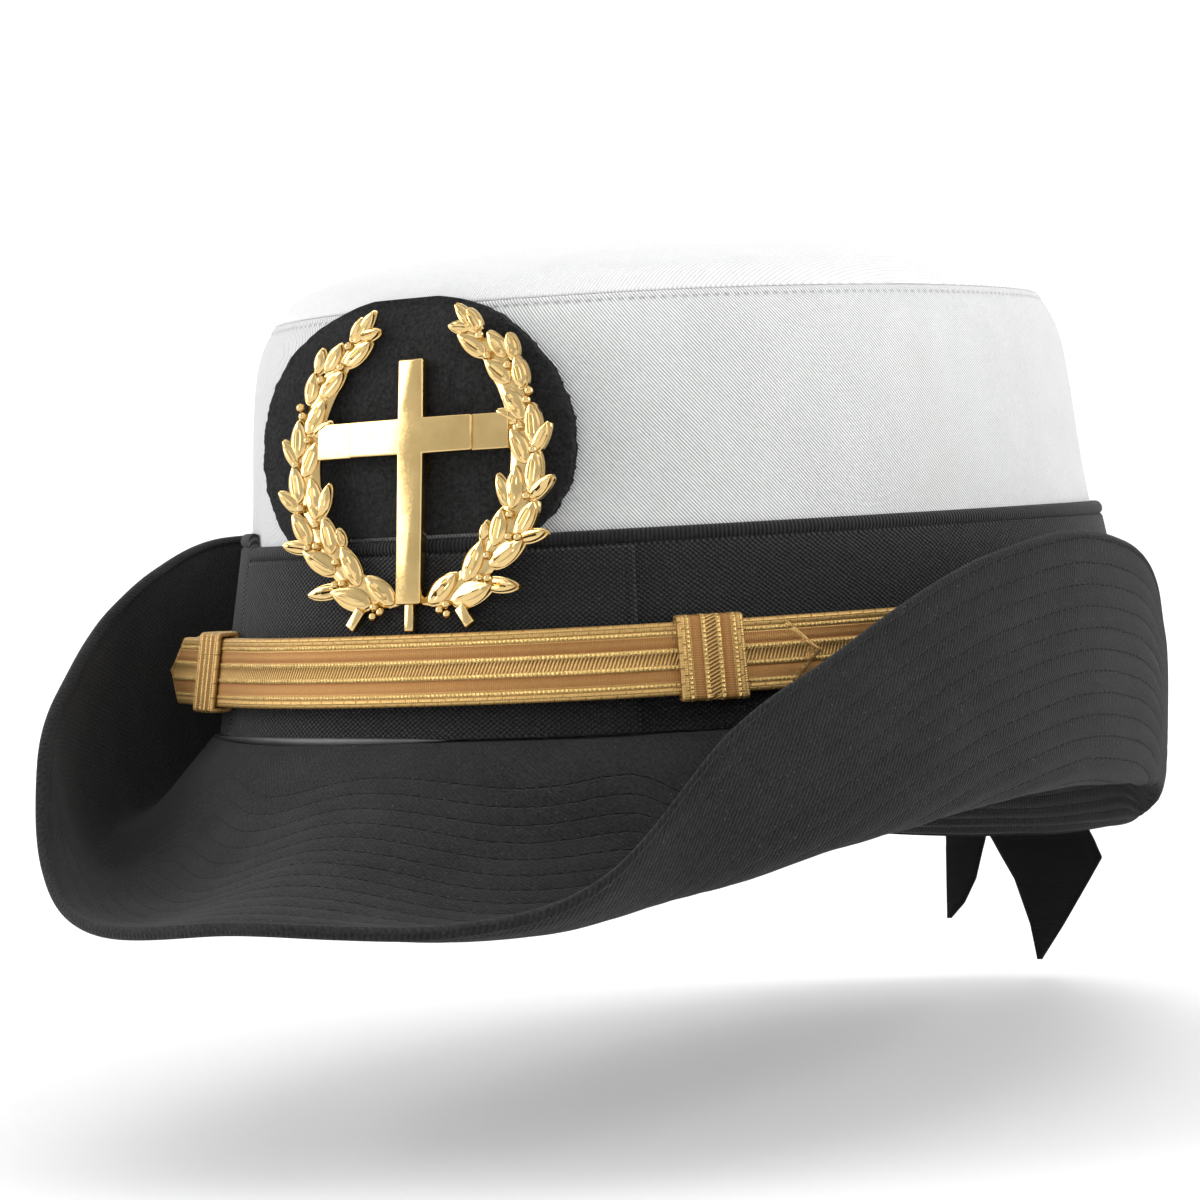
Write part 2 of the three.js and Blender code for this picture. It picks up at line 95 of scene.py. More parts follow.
def smoothAt(rows, key, name, place, levelEnds=False):  # a smooth curve through the rows
    high = next((i for i, row in enumerate(rows) if row[key] >= place), len(rows) - 1)
    high = max(high, 1)

    def slope(i):
        if 0 < i < len(rows) - 1:
            return (rows[i + 1][name] - rows[i - 1][name]) / (rows[i + 1][key] - rows[i - 1][key])
        if levelEnds:
            return 0
        a, b = (0, 1) if i == 0 else (i - 1, i)
        return (rows[b][name] - rows[a][name]) / (rows[b][key] - rows[a][key])

    below, above = rows[high - 1], rows[high]
    span = above[key] - below[key]
    share = limit((place - below[key]) / span, 0, 1)
    return curveAt(share, below[name], above[name], span * slope(high - 1), span * slope(high))


def spansOf(stations):  # both ends of each span, with the stations before and after them
    padded = [stations[0] * 2 - stations[1], *stations, stations[-1] * 2 - stations[-2]]
    return zip(padded, padded[1:], padded[2:], padded[3:])


def apart(a, b):
    return (b - a).length


def lengthsOf(points, distance=math.dist):  # the length along a line of points, up to each of them
    lengths = [0.0]
    for a, b in zip(points, points[1:]):
        lengths.append(lengths[-1] + distance(a, b))
    return lengths


def spanAt(lengths, along):  # the span that holds a length, and the share of the span before it
    k = limit(bisect.bisect_left(lengths, along), 1, len(lengths) - 1)
    return k, (along - lengths[k - 1]) / (lengths[k] - lengths[k - 1])


def deselectAll():
    if bpy.context.object and bpy.context.object.mode != "OBJECT":
        bpy.ops.object.mode_set(mode="OBJECT")
    bpy.ops.object.select_all(action="DESELECT")


def pick(obj):  # the only selected object
    deselectAll()
    obj.select_set(True)
    bpy.context.view_layer.objects.active = obj


def editAll():
    bpy.ops.object.mode_set(mode="EDIT")
    bpy.ops.mesh.select_all(action="SELECT")


def facesOut(inside=False):  # turns the faces one way and leaves edit mode
    bpy.ops.mesh.select_all(action="SELECT")
    bpy.ops.mesh.normals_make_consistent(inside=inside)
    bpy.ops.object.mode_set(mode="OBJECT")


def settle(obj):  # applies its place and turn
    pick(obj)
    bpy.ops.object.transform_apply(location=True, rotation=True, scale=True)


def roundEdges(obj, width):
    modifier = obj.modifiers.new("edges", "BEVEL")
    modifier.width, modifier.segments, modifier.limit_method = width, 3, "ANGLE"
    bpy.ops.object.modifier_apply(modifier="edges")


def smoothShade(obj, degrees=None):
    pick(obj)
    if degrees is None:
        bpy.ops.object.shade_smooth()
    else:
        bpy.ops.object.shade_smooth_by_angle(angle=math.radians(degrees))


# A woven grid: a primitive grid whose vertices are laid on columns of points. Each point is
# (x, y, z, u, v) in millimetres, with u and v measured on the cloth. A ring joins its last column
# to its first; a tube joins the ends of each column.
def clothGrid(name, columns, ring=False, tube=False, capEnds=False):
    if tube:
        columns = [column + column[:1] for column in columns]
    if ring:
        columns = columns + [[(*first[:3], 2 * last[3] - before[3], first[4])
                              for first, last, before in zip(columns[0], columns[-1], columns[-2])]]
    across, along = len(columns), len(columns[0])
    deselectAll()
    bpy.ops.mesh.primitive_grid_add(x_subdivisions=across - 1, y_subdivisions=along - 1, size=2)
    obj = bpy.context.object
    obj.name = obj.data.name = name
    mesh = obj.data
    order = []
    for vertex in mesh.vertices:
        i = round((vertex.co.x + 1) / 2 * (across - 1))
        j = round((vertex.co.y + 1) / 2 * (along - 1))
        order.append(columns[i][j])
    mesh.vertices.foreach_set("co", [c * mm for p in order for c in p[:3]])
    layer = mesh.uv_layers[0]
    layer.name = "cloth"
    corners = [0] * len(mesh.loops)
    mesh.loops.foreach_get("vertex_index", corners)
    layer.data.foreach_set("uv", [c for k in corners for c in order[k][3:5]])
    bpy.ops.object.mode_set(mode="EDIT")
    if ring or tube:
        bpy.ops.mesh.select_all(action="SELECT")
        bpy.ops.mesh.remove_doubles(threshold=2e-7)
    if capEnds:
        bpy.ops.mesh.select_all(action="DESELECT")
        bpy.ops.mesh.select_mode(type="EDGE")
        bpy.ops.mesh.select_non_manifold()
        bpy.ops.mesh.edge_face_add()
    facesOut()
    smoothShade(obj)
    return obj


def finishPiece(obj, material, replaced=()):
    obj.data.materials.clear()
    obj.data.materials.append(material)
    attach(obj, "root")
    if replaced:
        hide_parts(*replaced)


def clothWave(x, y, z, size, seed):  # slow unevenness of handled cloth, -1 to 1
    return noise.noise(Vector((x / size + seed, y / size - seed, z / size + seed * 0.7)))


# Shader helpers. A Tone is a value in a material's nodes, and arithmetic on it adds math nodes.
class Tone:
    def __init__(self, tree, socket):
        self.tree, self.socket = tree, socket

    def math(self, operation, *values):
        made = self.tree.nodes.new("ShaderNodeMath")
        made.operation = operation
        return fillNode(self.tree, made, values or (self,))

    __add__ = __radd__ = lambda self, other: self.math("ADD", self, other)
    __mul__ = __rmul__ = lambda self, other: self.math("MULTIPLY", self, other)
    __sub__ = lambda self, other: self.math("SUBTRACT", self, other)
    __rsub__ = lambda self, other: self.math("SUBTRACT", other, self)
    __pow__ = lambda self, other: self.math("POWER", self, other)
    __abs__ = lambda self: self.math("ABSOLUTE")
    above = lambda self, other: self.math("GREATER_THAN", self, other)  # 1 or 0

    def wave(self, period, low=0, high=1):
        middle, swing = (low + high) / 2, (high - low) / 2
        return (self * (2 * math.pi / period)).math("SINE") * swing + middle

    def fit(self, fromLow, fromHigh, toLow=0, toHigh=1):  # stretched to another range, and held within it
        made = self.tree.nodes.new("ShaderNodeMapRange")
        return fillNode(self.tree, made, (self, fromLow, fromHigh, toLow, toHigh))


def setSocket(tree, socket, value):
    if isinstance(value, Tone):
        tree.links.new(value.socket, socket)
    else:
        socket.default_value = value


def fillNode(tree, node, values, output=0):
    for socket, value in zip(node.inputs, values):
        setSocket(tree, socket, value)
    return Tone(tree, node.outputs[output])


def newMaterial(name, baseColor, roughness, metallic=0.0, **sockets):
    material = bpy.data.materials.new(name)
    material.use_nodes = True
    principled = material.node_tree.nodes["Principled BSDF"]
    principled.inputs["Base Color"].default_value = (*baseColor, 1)
    principled.inputs["Roughness"].default_value = roughness
    principled.inputs["Metallic"].default_value = metallic
    for socket, value in sockets.items():
        principled.inputs[socket.replace("_", " ")].default_value = value
    return material, material.node_tree, principled


def splitPlace(tree, socket):  # the x, y and z of a vector
    made = tree.nodes.new("ShaderNodeSeparateXYZ")
    tree.links.new(socket, made.inputs[0])
    return [Tone(tree, part) for part in made.outputs]


def clothUv(tree, name="cloth"):
    made = tree.nodes.new("ShaderNodeUVMap")
    made.uv_map = name
    return splitPlace(tree, made.outputs[0])[:2]


def objectPlace(tree):  # object coordinates in millimetres
    made = tree.nodes.new("ShaderNodeTexCoord")
    scaled = tree.nodes.new("ShaderNodeVectorMath")
    scaled.operation = "SCALE"
    scaled.inputs["Scale"].default_value = 1 / mm
    tree.links.new(made.outputs["Object"], scaled.inputs[0])
    return scaled.outputs[0]


def slanted(u, v, degrees):  # distance across lines that run at an angle to u
    turn = math.radians(degrees)
    return u * -math.sin(turn) + v * math.cos(turn)


def grain(tree, size, detail=2.0, roughness=0.5):
    made = tree.nodes.new("ShaderNodeTexNoise")
    made.inputs["Scale"].default_value = 1 / size
    made.inputs["Detail"].default_value = detail
    made.inputs["Roughness"].default_value = roughness
    tree.links.new(objectPlace(tree), made.inputs["Vector"])
    return Tone(tree, made.outputs["Fac"])


def grey(level, blue=0):
    return (level, level, level + blue)


def mixColor(share, first, second):
    made = share.tree.nodes.new("ShaderNodeMix")
    made.data_type = "RGBA"
    setSocket(share.tree, made.inputs["Factor"], share)
    for socket, value in ((made.inputs[6], first), (made.inputs[7], second)):
        setSocket(share.tree, socket, value if isinstance(value, Tone) else (*value, 1))
    return Tone(share.tree, made.outputs[2])


def paint(principled, name, tone):
    setSocket(tone.tree, principled.inputs[name], tone)


def dress(principled, color, height, depth, strength=1.0):  # depth of the bump in millimetres
    paint(principled, "Base Color", color)
    made = height.tree.nodes.new("ShaderNodeBump")
    made.inputs["Distance"].default_value = depth * mm
    made.inputs["Strength"].default_value = strength
    setSocket(height.tree, made.inputs["Height"], height)
    height.tree.links.new(made.outputs[0], principled.inputs["Normal"])


# Cloths and metals. Their sizes are millimetres on the cloth, and a depth is the height of the bump.
twill = {"line": 0.5, "slant": -49, "tipSlant": 78, "depth": 0.2, "white": grey(0.93, 0.002),
         "shadedTipWhite": grey(0.79, 0.002), "shade": grey(0.4, 0.005), "stitch": 2.1}


def whiteTwillMaterial(name, onTip):
    material, tree, principled = newMaterial(name, twill["white"], 0.82, Sheen_Weight=0.25,
                                             Sheen_Roughness=0.6, Specular_IOR_Level=0.3)
    u, v = splitPlace(tree, objectPlace(tree))[:2] if onTip else clothUv(tree)
    slant = twill["tipSlant"] if onTip else twill["slant"]
    lines = slanted(u, v, slant).wave(twill["line"]).fit(0.12, 0.88)
    threads = slanted(u, v, slant + 62).wave(twill["line"] * 0.8)
    slub, cloud = grain(tree, 0.9, 3), grain(tree, 9, 2)
    height = lines + threads * 0.15 + slub * 0.2
    fade = 0.45 if onTip else 1.0
    # the colour is darker along the twill's lines: painted shade in the grooves of the weave, beside its
    # bump; cloud and slub add random tone
    shade = 1.05 - (1 - lines) * fade + cloud.fit(0.3, 0.7, -0.04, 0.04) + (slub - 0.5) * 0.3
    if not onTip:  # dimples of the stitches below the seam, also painted darker: painted shade in the dimples
        under = abs(v - (sideTop - crown["stitchDrop"]))
        dimple = under.fit(0.1, 0.35, 1, 0) * u.wave(twill["stitch"]).fit(0.4, 0.7)
        height, shade = height - dimple * 1.5, shade - dimple * 0.35
    # the tip's white is darker than the side's: painted shade on the top of the crown
    white = twill["shadedTipWhite"] if onTip else twill["white"]
    dress(principled, mixColor(shade, twill["shade"], white),
          height, twill["depth"] * (0.5 if onTip else 1))
    return material


elastic = {"across": 1.12, "up": 0.86, "rolled": 32.7, "rib": 0.8, "depth": 0.36,
           "dark": grey(0.002, 0.0002), "light": grey(0.037, 0.002)}


def elasticMaterial():  # staggered lumps of a woven elastic, and upright ribs on its rolled edge
    material, tree, principled = newMaterial("black elastic", elastic["light"], 0.78, Sheen_Weight=0.12,
                                             Sheen_Roughness=0.5, Specular_IOR_Level=0.2)
    u, v = clothUv(tree)
    wander = (grain(tree, 3, 1) - 0.5) * 0.5
    across, up = (u + wander).wave(elastic["across"], -1), (v + wander).wave(elastic["up"], -1)
    onRoll = v.above(elastic["rolled"])
    lumps = (across * up * 0.5 + 0.5) * (1 - onRoll) + u.wave(elastic["rib"], 0.25, 0.75) * onRoll
    fuzz = grain(tree, 0.25, 2)
    # the lumps and ribs are painted lighter and the hollows between them darker: painted shade of the weave,
    # beside its bump; the fuzz adds random tone
    shade = lumps ** 3 * fuzz.fit(0.3, 0.7, 0.6, 1.2)
    dress(principled, mixColor(shade, elastic["dark"], elastic["light"]),
          lumps + fuzz * 0.3, elastic["depth"])
    return material


brimCloth = {"line": 0.7, "slant": 62, "insideSlant": -38, "depth": 0.38, "outside": 0.62,
             "dark": grey(0.0018, 0.0002), "light": grey(0.033, 0.0005), "hole": grey(0.003),
             "lint": grey(0.09)}


def brimMaterial():  # black twill with rows of stitches, which the second map counts
    material, tree, principled = newMaterial("black twill", brimCloth["light"], 0.9, Sheen_Weight=0.06,
                                             Sheen_Roughness=0.5, Specular_IOR_Level=0.16)
    u, v = clothUv(tree)
    isInside = v.above(0)
    isOutside = 1 - isInside
    lines = (isInside * slanted(u, v, brimCloth["insideSlant"])
             + isOutside * slanted(u, v, brimCloth["slant"])).wave(brimCloth["line"])
    fuzz = grain(tree, 0.55, 3, 0.65).fit(0.3, 0.7)
    # the rows are pressed flat on the wearer's right inside the brim, and at the front outside it
    toLeft = u - brim["halfRound"]
    seen = isInside * toLeft.fit(-62, -2, 0.03, 1) + isOutside * abs(toLeft).fit(60, 170, 0.3, 1)
    along, row = clothUv(tree, "stitch")
    row = row + (grain(tree, 1.3, 1) - 0.5) * 0.13
    onRow = abs(row - row.math("ROUND")).fit(0.015, 0.06, 1, 0)
    # the stitches are dark dashes along the rows: painted shade in the stitch holes, beside the dip in the
    # bump
    stitch = onRow * along.wave(1.0).fit(0.12, 0.4, 0.2, 1) * seen
    lineShare = isInside.fit(0, 1, 0.4, 0.16)
    # the colour is darker along the twill's lines: painted shade in the grooves of the weave, beside its
    # bump; fuzz and cloud add random tone
    shade = lines * lineShare + fuzz * 0.62 + grain(tree, 11, 3).fit(0.3, 0.7, -0.02, 0.22)
    # the brim's outside face is painted darker than its inside: painted shade on the outside
    shade = shade * isInside.fit(0, 1, brimCloth["outside"], 1)
    lint = grain(tree, 0.6, 1).fit(0.72, 0.76, 0, 0.5)
    cloth = mixColor(lint, mixColor(shade, brimCloth["dark"], brimCloth["light"]), brimCloth["lint"])
    dress(principled, mixColor(stitch, cloth, brimCloth["hole"]),
          lines * lineShare * 0.55 + fuzz * 0.24 - stitch * 0.7, brimCloth["depth"])
    return material


def feltMaterial():
    material, tree, principled = newMaterial("black felt", grey(0.012), 0.97, Sheen_Weight=0.3,
                                             Sheen_Roughness=0.4, Specular_IOR_Level=0.1)
    principled.inputs["Sheen Tint"].default_value = (*grey(0.12, 0.01), 1)
    fibres = grain(tree, 0.7, 4, 0.7)
    shade = fibres.fit(0.35, 0.68, 0, 0.8) + grain(tree, 5, 2) * 0.3
    dress(principled, mixColor(shade, grey(0.005), grey(0.034)), fibres, 0.45)
    return material


metal = {"plain": (0.86, 0.63, 0.28), "deep": (0.60, 0.41, 0.16), "pale": (0.76, 0.56, 0.26),
         "roughness": 0.12}


def giltMaterial():
    material, tree, principled = newMaterial("polished gilt", metal["plain"], metal["roughness"], 1.0)
    soft, fine = grain(tree, 3.5, 2), grain(tree, 0.5, 2)
    paint(principled, "Roughness", fine.fit(0.3, 0.7, metal["roughness"] * 0.8, metal["roughness"] * 1.5))
    dress(principled, mixColor(soft, metal["deep"], metal["pale"]), soft, 0.06, 0.4)
    return material


# The lace by distance from its middle line: a shine of 0 is copper, and 1 the bright gold thread.
lace = {"half": 6.35, "copper": (0.25, 0.088, 0.021), "gold": (0.82, 0.58, 0.205),
        "shadeBrown": (0.10, 0.035, 0.008), "middle": 0.98, "twist": 0.62, "twistSlant": 114, "thread": 0.42,
        "bead": 0.8, "braid": 4.9, "braidSplit": 5.65, "brick": 2.7, "depth": 0.14}
laceBands = table(
    "off shine rise",
    (0.0, 0.15, 0.10), (1.0, 0.15, 0.08), (1.12, 1.0, 0.26), (1.72, 1.0, 0.24), (1.88, 0.08, 0.0),
    (2.2, 0.12, 0.10), (3.0, 0.22, 0.16), (3.8, 0.12, 0.08), (3.95, 0.5, 0.12), (4.12, 0.1, 0.0),
    (4.25, 1.0, 0.22), (4.75, 1.0, 0.22), (4.88, 0.2, 0.02), (5.1, 0.55, 0.22), (6.0, 0.55, 0.16),
    (6.35, 0.35, -0.1))


def laceShine(tree, off):
    ramp = tree.nodes.new("ShaderNodeValToRGB")
    elements = ramp.color_ramp.elements
    for i, band in enumerate(laceBands):
        place = band["off"] / lace["half"]
        element = elements[i] if i < 2 else elements.new(place)
        element.position = place
        element.color = (*grey(band["shine"]), 1)
    return fillNode(tree, ramp, [off * (1 / lace["half"])])


def laceMaterial():
    material, tree, principled = newMaterial("gold lace", lace["gold"], 0.4, 0.65, Specular_IOR_Level=0.4)
    u, v = clothUv(tree)
    off = abs(v)
    shine = laceShine(tree, off)
    middle = off.fit(lace["middle"], lace["middle"] + 0.14, 1, 0)  # the twisted middle
    braid = off.fit(lace["braid"], lace["braid"] + 0.15)  # the two outer braids, laid like bricks
    twist = slanted(u, v, lace["twistSlant"]).wave(lace["twist"])
    thread = u.wave(lace["thread"])
    glint = grain(tree, 0.3, 2, 0.6)
    shifted = off.above(lace["braidSplit"]) * (lace["brick"] / 2) + u + v * 0.2
    brick = shifted.wave(lace["brick"]).fit(0.0, 0.04) * abs(off - lace["braidSplit"]).fit(0.0, 0.12)
    bead = (u + glint * 0.5).wave(lace["bead"])
    isGold = shine.fit(0.75, 0.95)
    height = thread * 0.22 + middle * twist * 1.2 + isGold * bead + braid * brick * 0.7 + glint * 0.5
    # the twisted middle is painted lighter on its ridges and the gold darker between its beads: painted
    # highlight and painted shade of the relief
    tone = (shine + middle * twist ** 2 * 0.7) * glint.fit(0.3, 0.7, 0.75, 1.25)
    tone = tone * (isGold * (1 - bead)).fit(0, 1, 1, 0.45)
    # the brown is painted shade: in the joints between the braid's bricks, in the grooves of the twisted
    # middle and between the threads
    dark = braid * (1 - brick) * 0.4 + middle * twist.fit(0.0, 0.4, 0.5, 0) + (1 - thread) * 0.14
    paint(principled, "Roughness", shine.fit(0.1, 1, 0.55, 0.26))
    bright = mixColor(tone, lace["copper"], lace["gold"])
    dress(principled, mixColor(dark, bright, lace["shadeBrown"]), height, lace["depth"])
    return material


def ribbonMaterial():
    material, tree, principled = newMaterial("black ribbon", grey(0.008), 0.65, Sheen_Weight=0.02,
                                             Specular_IOR_Level=0.12)
    ribs = clothUv(tree)[1].wave(0.45)
    # the colour is darker between the ribs: painted shade of the ribs, beside their bump; the grain adds
    # random tone
    shade = ribs * 0.5 + grain(tree, 6, 2) * 0.5
    dress(principled, mixColor(shade, grey(0.0018), grey(0.006)), ribs, 0.05)
    return material


def liningMaterial():
    material, tree, principled = newMaterial("band lining", grey(0.05, 0.001), 0.42, Specular_IOR_Level=0.5)
    soft = grain(tree, 2.5, 2)
    dress(principled, mixColor(soft, grey(0.022, 0.001), grey(0.05, 0.001)), soft, 0.05)
    return material


blackElastic = elasticMaterial()
bandLining = liningMaterial()
blackFelt = feltMaterial()
gilt = giltMaterial()
goldLace = laceMaterial()
blackRibbon = ribbonMaterial()
print("materials made")


# Crown.
crown = {"wall": 2, "columns": 240, "topBead": 0.18, "stitchDrop": 1.3, "stitchDepth": 0.16,
         "stitchWidth": 0.32, "wave": 0.22, "waveSize": 26, "tipBead": 0.15, "tipWave": 0.25,
         "tipWaveSize": 24, "underBand": 36, "measured": (92, 78)}  # u is measured along that oval
crownRows = table(
    "up halfLength halfWidth ahead",
    (0, 98.4, 83.2, 0), (36, 91.3, 77.2, 0.5), (60, 88.8, 74.8, 1.7), (68, 87.6, 73.8, 1.9),
    (73, 86, 72.4, 2), (77.5, 83.2, 70, 2.2))
tipRows = table(
    "reach rise",  # reach is a share of the seam oval, rise is above the seam
    (1, 0), (0.985, 1.8), (0.955, 4.2), (0.9, 6.6), (0.8, 8.8), (0.62, 11), (0.4, 12.8), (0.15, 13.7))
seam = crownRows[-1]
sideTop = seam["up"] - 0.1


def crownPoint(angle, up, out):
    read = straightAt if up <= crown["underBand"] else smoothAt
    x, y = ovalPoint(angle, read(crownRows, "up", "halfLength", up), read(crownRows, "up", "halfWidth", up))
    outX, outY = outwards(angle)
    return x + outX * out, y + outY * out - read(crownRows, "up", "ahead", up), up


def ringAngles(count):
    return [2 * math.pi * i / count - math.pi for i in range(count)]


def arcOf(angles, halfLength, halfWidth):  # length along an oval up to each angle
    return lengthsOf([ovalPoint(angle, halfLength, halfWidth) for angle in angles])


def makeCrownSide():
    angles = ringAngles(crown["columns"])
    arc = arcOf(angles, *crown["measured"])
    stitched = sideTop - crown["stitchDrop"]
    ups = [0, 12, 24, 33] + [36 + i * 2.5 for i in range(15)] + [73.5, 74.8, stitched - 0.4, stitched]
    ups = sorted(ups) + [sideTop - drop for drop in (0.9, 0.5, 0.15, 0)]
    columns = []
    for angle, length in zip(angles, arc):
        column = []
        for up in ups:
            groove = crown["stitchDepth"] * math.exp(-((up - stitched) / crown["stitchWidth"]) ** 2)
            bead = crown["topBead"] * math.exp(-((up - sideTop + 0.55) / 0.5) ** 2)
            x, y, z = crownPoint(angle, up, 0)
            wave = crown["wave"] * clothWave(x, y, z, crown["waveSize"], 3.1)
            wave *= smoothStep((up - 38) / 12) * smoothStep((75 - up) / 6)  # taut at the band and the seam
            outX, outY = outwards(angle)
            off = bead - groove + wave - (0.1 if up == sideTop else 0)
            column.append((x + outX * off, y + outY * off, z, length, up))
        for up in reversed([0, 36, 60, 68, 73, seam["up"] - hat["gap"]]):
            column.append((*crownPoint(angle, up, -crown["wall"]), length, up))
        columns.append(column)
    finishPiece(clothGrid("crown_cloth", columns, ring=True, tube=True),
                whiteSide, ["crown_side"])


def makeCrownTip():
    angles = ringAngles(crown["columns"])
    inside = 1 - crown["wall"] / seam["halfLength"]
    profile = [(inside * row["reach"], row["rise"] - crown["wall"]) for row in reversed(tipRows)
               if row["rise"] > crown["wall"]]
    profile = [(0.0, tipRows[-1]["rise"] - crown["wall"] + 0.1)] + profile + [(inside, 0.05), (0.998, -0.04)]
    underside = len(profile)
    rises = [0.25, 0.6, 1.1, 1.8, 2.6, 3.4, 4.2, 5.0, 5.8, 6.6, 7.3, 8.0, 8.8, 9.6, 10.3, 11, 11.7, 12.3,
             12.8, 13.3, 13.7]
    profile += [(smoothAt(tipRows, "rise", "reach", rise), rise) for rise in rises] + [(0.0, 14.0)]
    columns = []
    for angle in angles:
        column = []
        edgeX, edgeY = ovalPoint(angle, seam["halfLength"], seam["halfWidth"])
        outX, outY = outwards(angle)
        for k, (reach, rise) in enumerate(profile):
            byEdge = 0.2 < rise < 2 and reach > 0.97
            bead = crown["tipBead"] * math.exp(-((rise - 0.5) / 0.45) ** 2) if byEdge else 0
            x, y = edgeX * reach + outX * bead, edgeY * reach - seam["ahead"] + outY * bead
            wave = crown["tipWave"] * clothWave(x, y, 5, crown["tipWaveSize"], 7.7)
            wave = wave * smoothStep((rise - 2) / 4) if k >= underside else 0
            column.append((x, y, seam["up"] + rise + wave, x, y))
        columns.append(column)
    finishPiece(clothGrid("crown_top_cloth", columns, ring=True), whiteTip, ["crown_tip"])


whiteSide = whiteTwillMaterial("white twill side", False)
whiteTip = whiteTwillMaterial("white twill tip", True)
makeCrownSide()
makeCrownTip()
print("crown made")


# Band.
band = {"height": 35.5, "thick": 1.5, "roll": 2.6, "corner": 0.25, "columns": 320, "step": 2.6,
        "stepAt": -36, "stepEnds": -125, "measured": (97, 82)}
panel = {"thick": 1.0, "fromRight": -35, "toLeft": 28, "columns": 120, "hem": 1.6, "hemDepth": 0.3,
         "edge": 0.6, "corner": 0.15, "fray": 0.008}


def bandTop(degrees):  # the webbing stands higher beyond the right end of the panel
    rise = smoothStep(band["stepAt"] - degrees) * smoothStep((degrees - band["stepEnds"]) / 45)
    return band["height"] + band["step"] * rise


def makeBand():
    angles = ringAngles(band["columns"])
    arc = arcOf(angles, *band["measured"])
    gap, face = hat["gap"], hat["gap"] + band["thick"]
    roll, corner = band["roll"], band["corner"]
    columns = []
    for angle, length in zip(angles, arc):
        top = bandTop(math.degrees(angle))
        profile = [(gap, 0), (face - corner, -0.05), (face, corner)]
        profile += [(face, between(corner, top - roll - 0.5, (i + 1) / 8)) for i in range(8)]
        profile.append((face - corner, top - roll))
        for step in range(9):  # the rolled top edge
            turn = math.pi * (step / 8) - math.pi / 2
            profile.append((face - 0.75 + 1.1 * math.cos(turn), top - roll / 2 * (1 - math.sin(turn))))
        profile.append((gap, top - 0.3))
        columns.append([(*crownPoint(angle, up, out), length, up + out - face + band["height"] - top)
                        for out, up in profile])
    finishPiece(clothGrid("band_webbing", columns, ring=True, tube=True),
                blackElastic, ["hat_band"])


def makePanel():
    count = panel["columns"]
    ends = math.radians(panel["fromRight"]), math.radians(panel["toLeft"])
    angles = [between(*ends, i / count) for i in range(count + 1)]
    arc = arcOf(angles, *band["measured"])
    inner = hat["gap"] + band["thick"] + 0.1
    top, corner = band["height"] - band["roll"] - 0.35, panel["corner"]
    ups = [0.0, corner, 0.5] + [3 + i * 4.2 for i in range(7)] + [top - 0.5, top - corner, top]
    rim = [0.45, 0.15, 0.0] + [0.0] * 7 + [0.0, 0.15, 0.45]
    columns = []
    for angle, length in zip(angles, arc):
        toEnd = min(length, arc[-1] - length)
        edge = math.sqrt(limit(1 - (1 - limit(toEnd / panel["edge"], 0, 1)) ** 2, 0.02, 1))
        groove = panel["hemDepth"] * math.exp(-((toEnd - panel["hem"]) / 0.35) ** 2)
        outer = inner + corner + (panel["thick"] - corner) * edge - groove
        frayed = panel["fray"] if length < 1 else 0
        column = [(*crownPoint(angle + frayed * clothWave(up, 0, 0, 1.7, 3.1), up, outer - drop),
                   length + 0.31, up + 0.2) for up, drop in zip(ups, rim)]
        column += [(*crownPoint(angle, up, inner), length, up) for up in (top, 0.0)]
        columns.append(column)
    finishPiece(clothGrid("band_panel", columns, tube=True, capEnds=True),
                blackElastic, ["band_front_panel"])


lip = {"fromRight": -44, "toLeft": 5, "halfHeight": 0.85, "halfThick": 0.4, "out": 3.0, "up": -0.1,
       "columns": 90, "sides": 12, "fullest": 1.5}


def makeLip():  # the edge of the inner lining, which shows under the band at the front
    columns = []
    for i in range(lip["columns"] + 1):
        share = i / lip["columns"]
        angle = math.radians(between(lip["fromRight"], lip["toLeft"], share))
        full = max(math.sin(math.pi * share ** lip["fullest"]) ** 0.7, 0.08)
        column = []
        for k in range(lip["sides"]):
            turn = 2 * math.pi * k / lip["sides"]
            up = lip["up"] + lip["halfHeight"] * full * math.sin(turn)
            out = lip["out"] + lip["halfThick"] * full * math.cos(turn)
            column.append((*crownPoint(angle, up, out), share * 75, k * 0.4))
        columns.append(column)
    finishPiece(clothGrid("band_lining_edge", columns, tube=True, capEnds=True),
                bandLining)


makeLip()
makeBand()
makePanel()
print("band made")


# Brim.
brim = {"halfLength": 101, "halfWidth": 85, "thick": 2.5, "columns": 540, "stitchRows": 13, "firstRow": 1.6,
        "secondRow": 6.0, "rowStep": 3.95, "groove": 0.3, "pucker": 0.1, "stitch": 2.5, "shift": 0.37,
        "fine": 240, "foldReach": 1.8, "halfRound": 349, "unsewn": 12.5, "rough": 0.22, "roughSize": 17,
        "measured": (122, 100)}  # halfRound is u at the front, and unsewn is the row count off the rows
# By angle from the front: the brim's edge, the knee that bends the section, and what is added on the
# wearer's right (lift and spread to the edge, sink to the knee).
brimSections = table(
    "at out up kneeOut kneeUp lift spread sink",
    (0, 50.6, -27.7, 24.3, -23.9, 0, 0, 0), (15, 47.4, -27.9, 23.5, -37, 0, 1.8, 0.3),
    (25, 43, -21.2, 23.3, -41.2, 2.3, 0.7, 1.3), (35, 35.5, 1.6, 31, -48.2, 0.8, -0.4, 0),
    (45, 25.5, 12.5, 34.1, -43.5, 1.8, 1.3, 0), (55, 20, 21.7, 30, -41.7, 2.4, 0.8, 0),
    (65, 16, 27.5, 25, -39.5, 4.4, -0.4, 0), (80, 13, 30.6, 17, -39.5, 7, 0, 0),
    (95, 9, 25.4, 10.6, -44.2, 9, 0, 0), (110, 5, 10.5, 3.6, -46.4, 6, 0, 0),
    (125, 4.2, -6.2, 0.5, -48, 1, 0, 0), (140, 6.8, -23.5, 4.8, -43.5, 0, 0, 0),
    (155, 16, -33.6, 8, -40, 0, 0, 0), (180, 30, -40, 14, -34, 0, 0, 0))


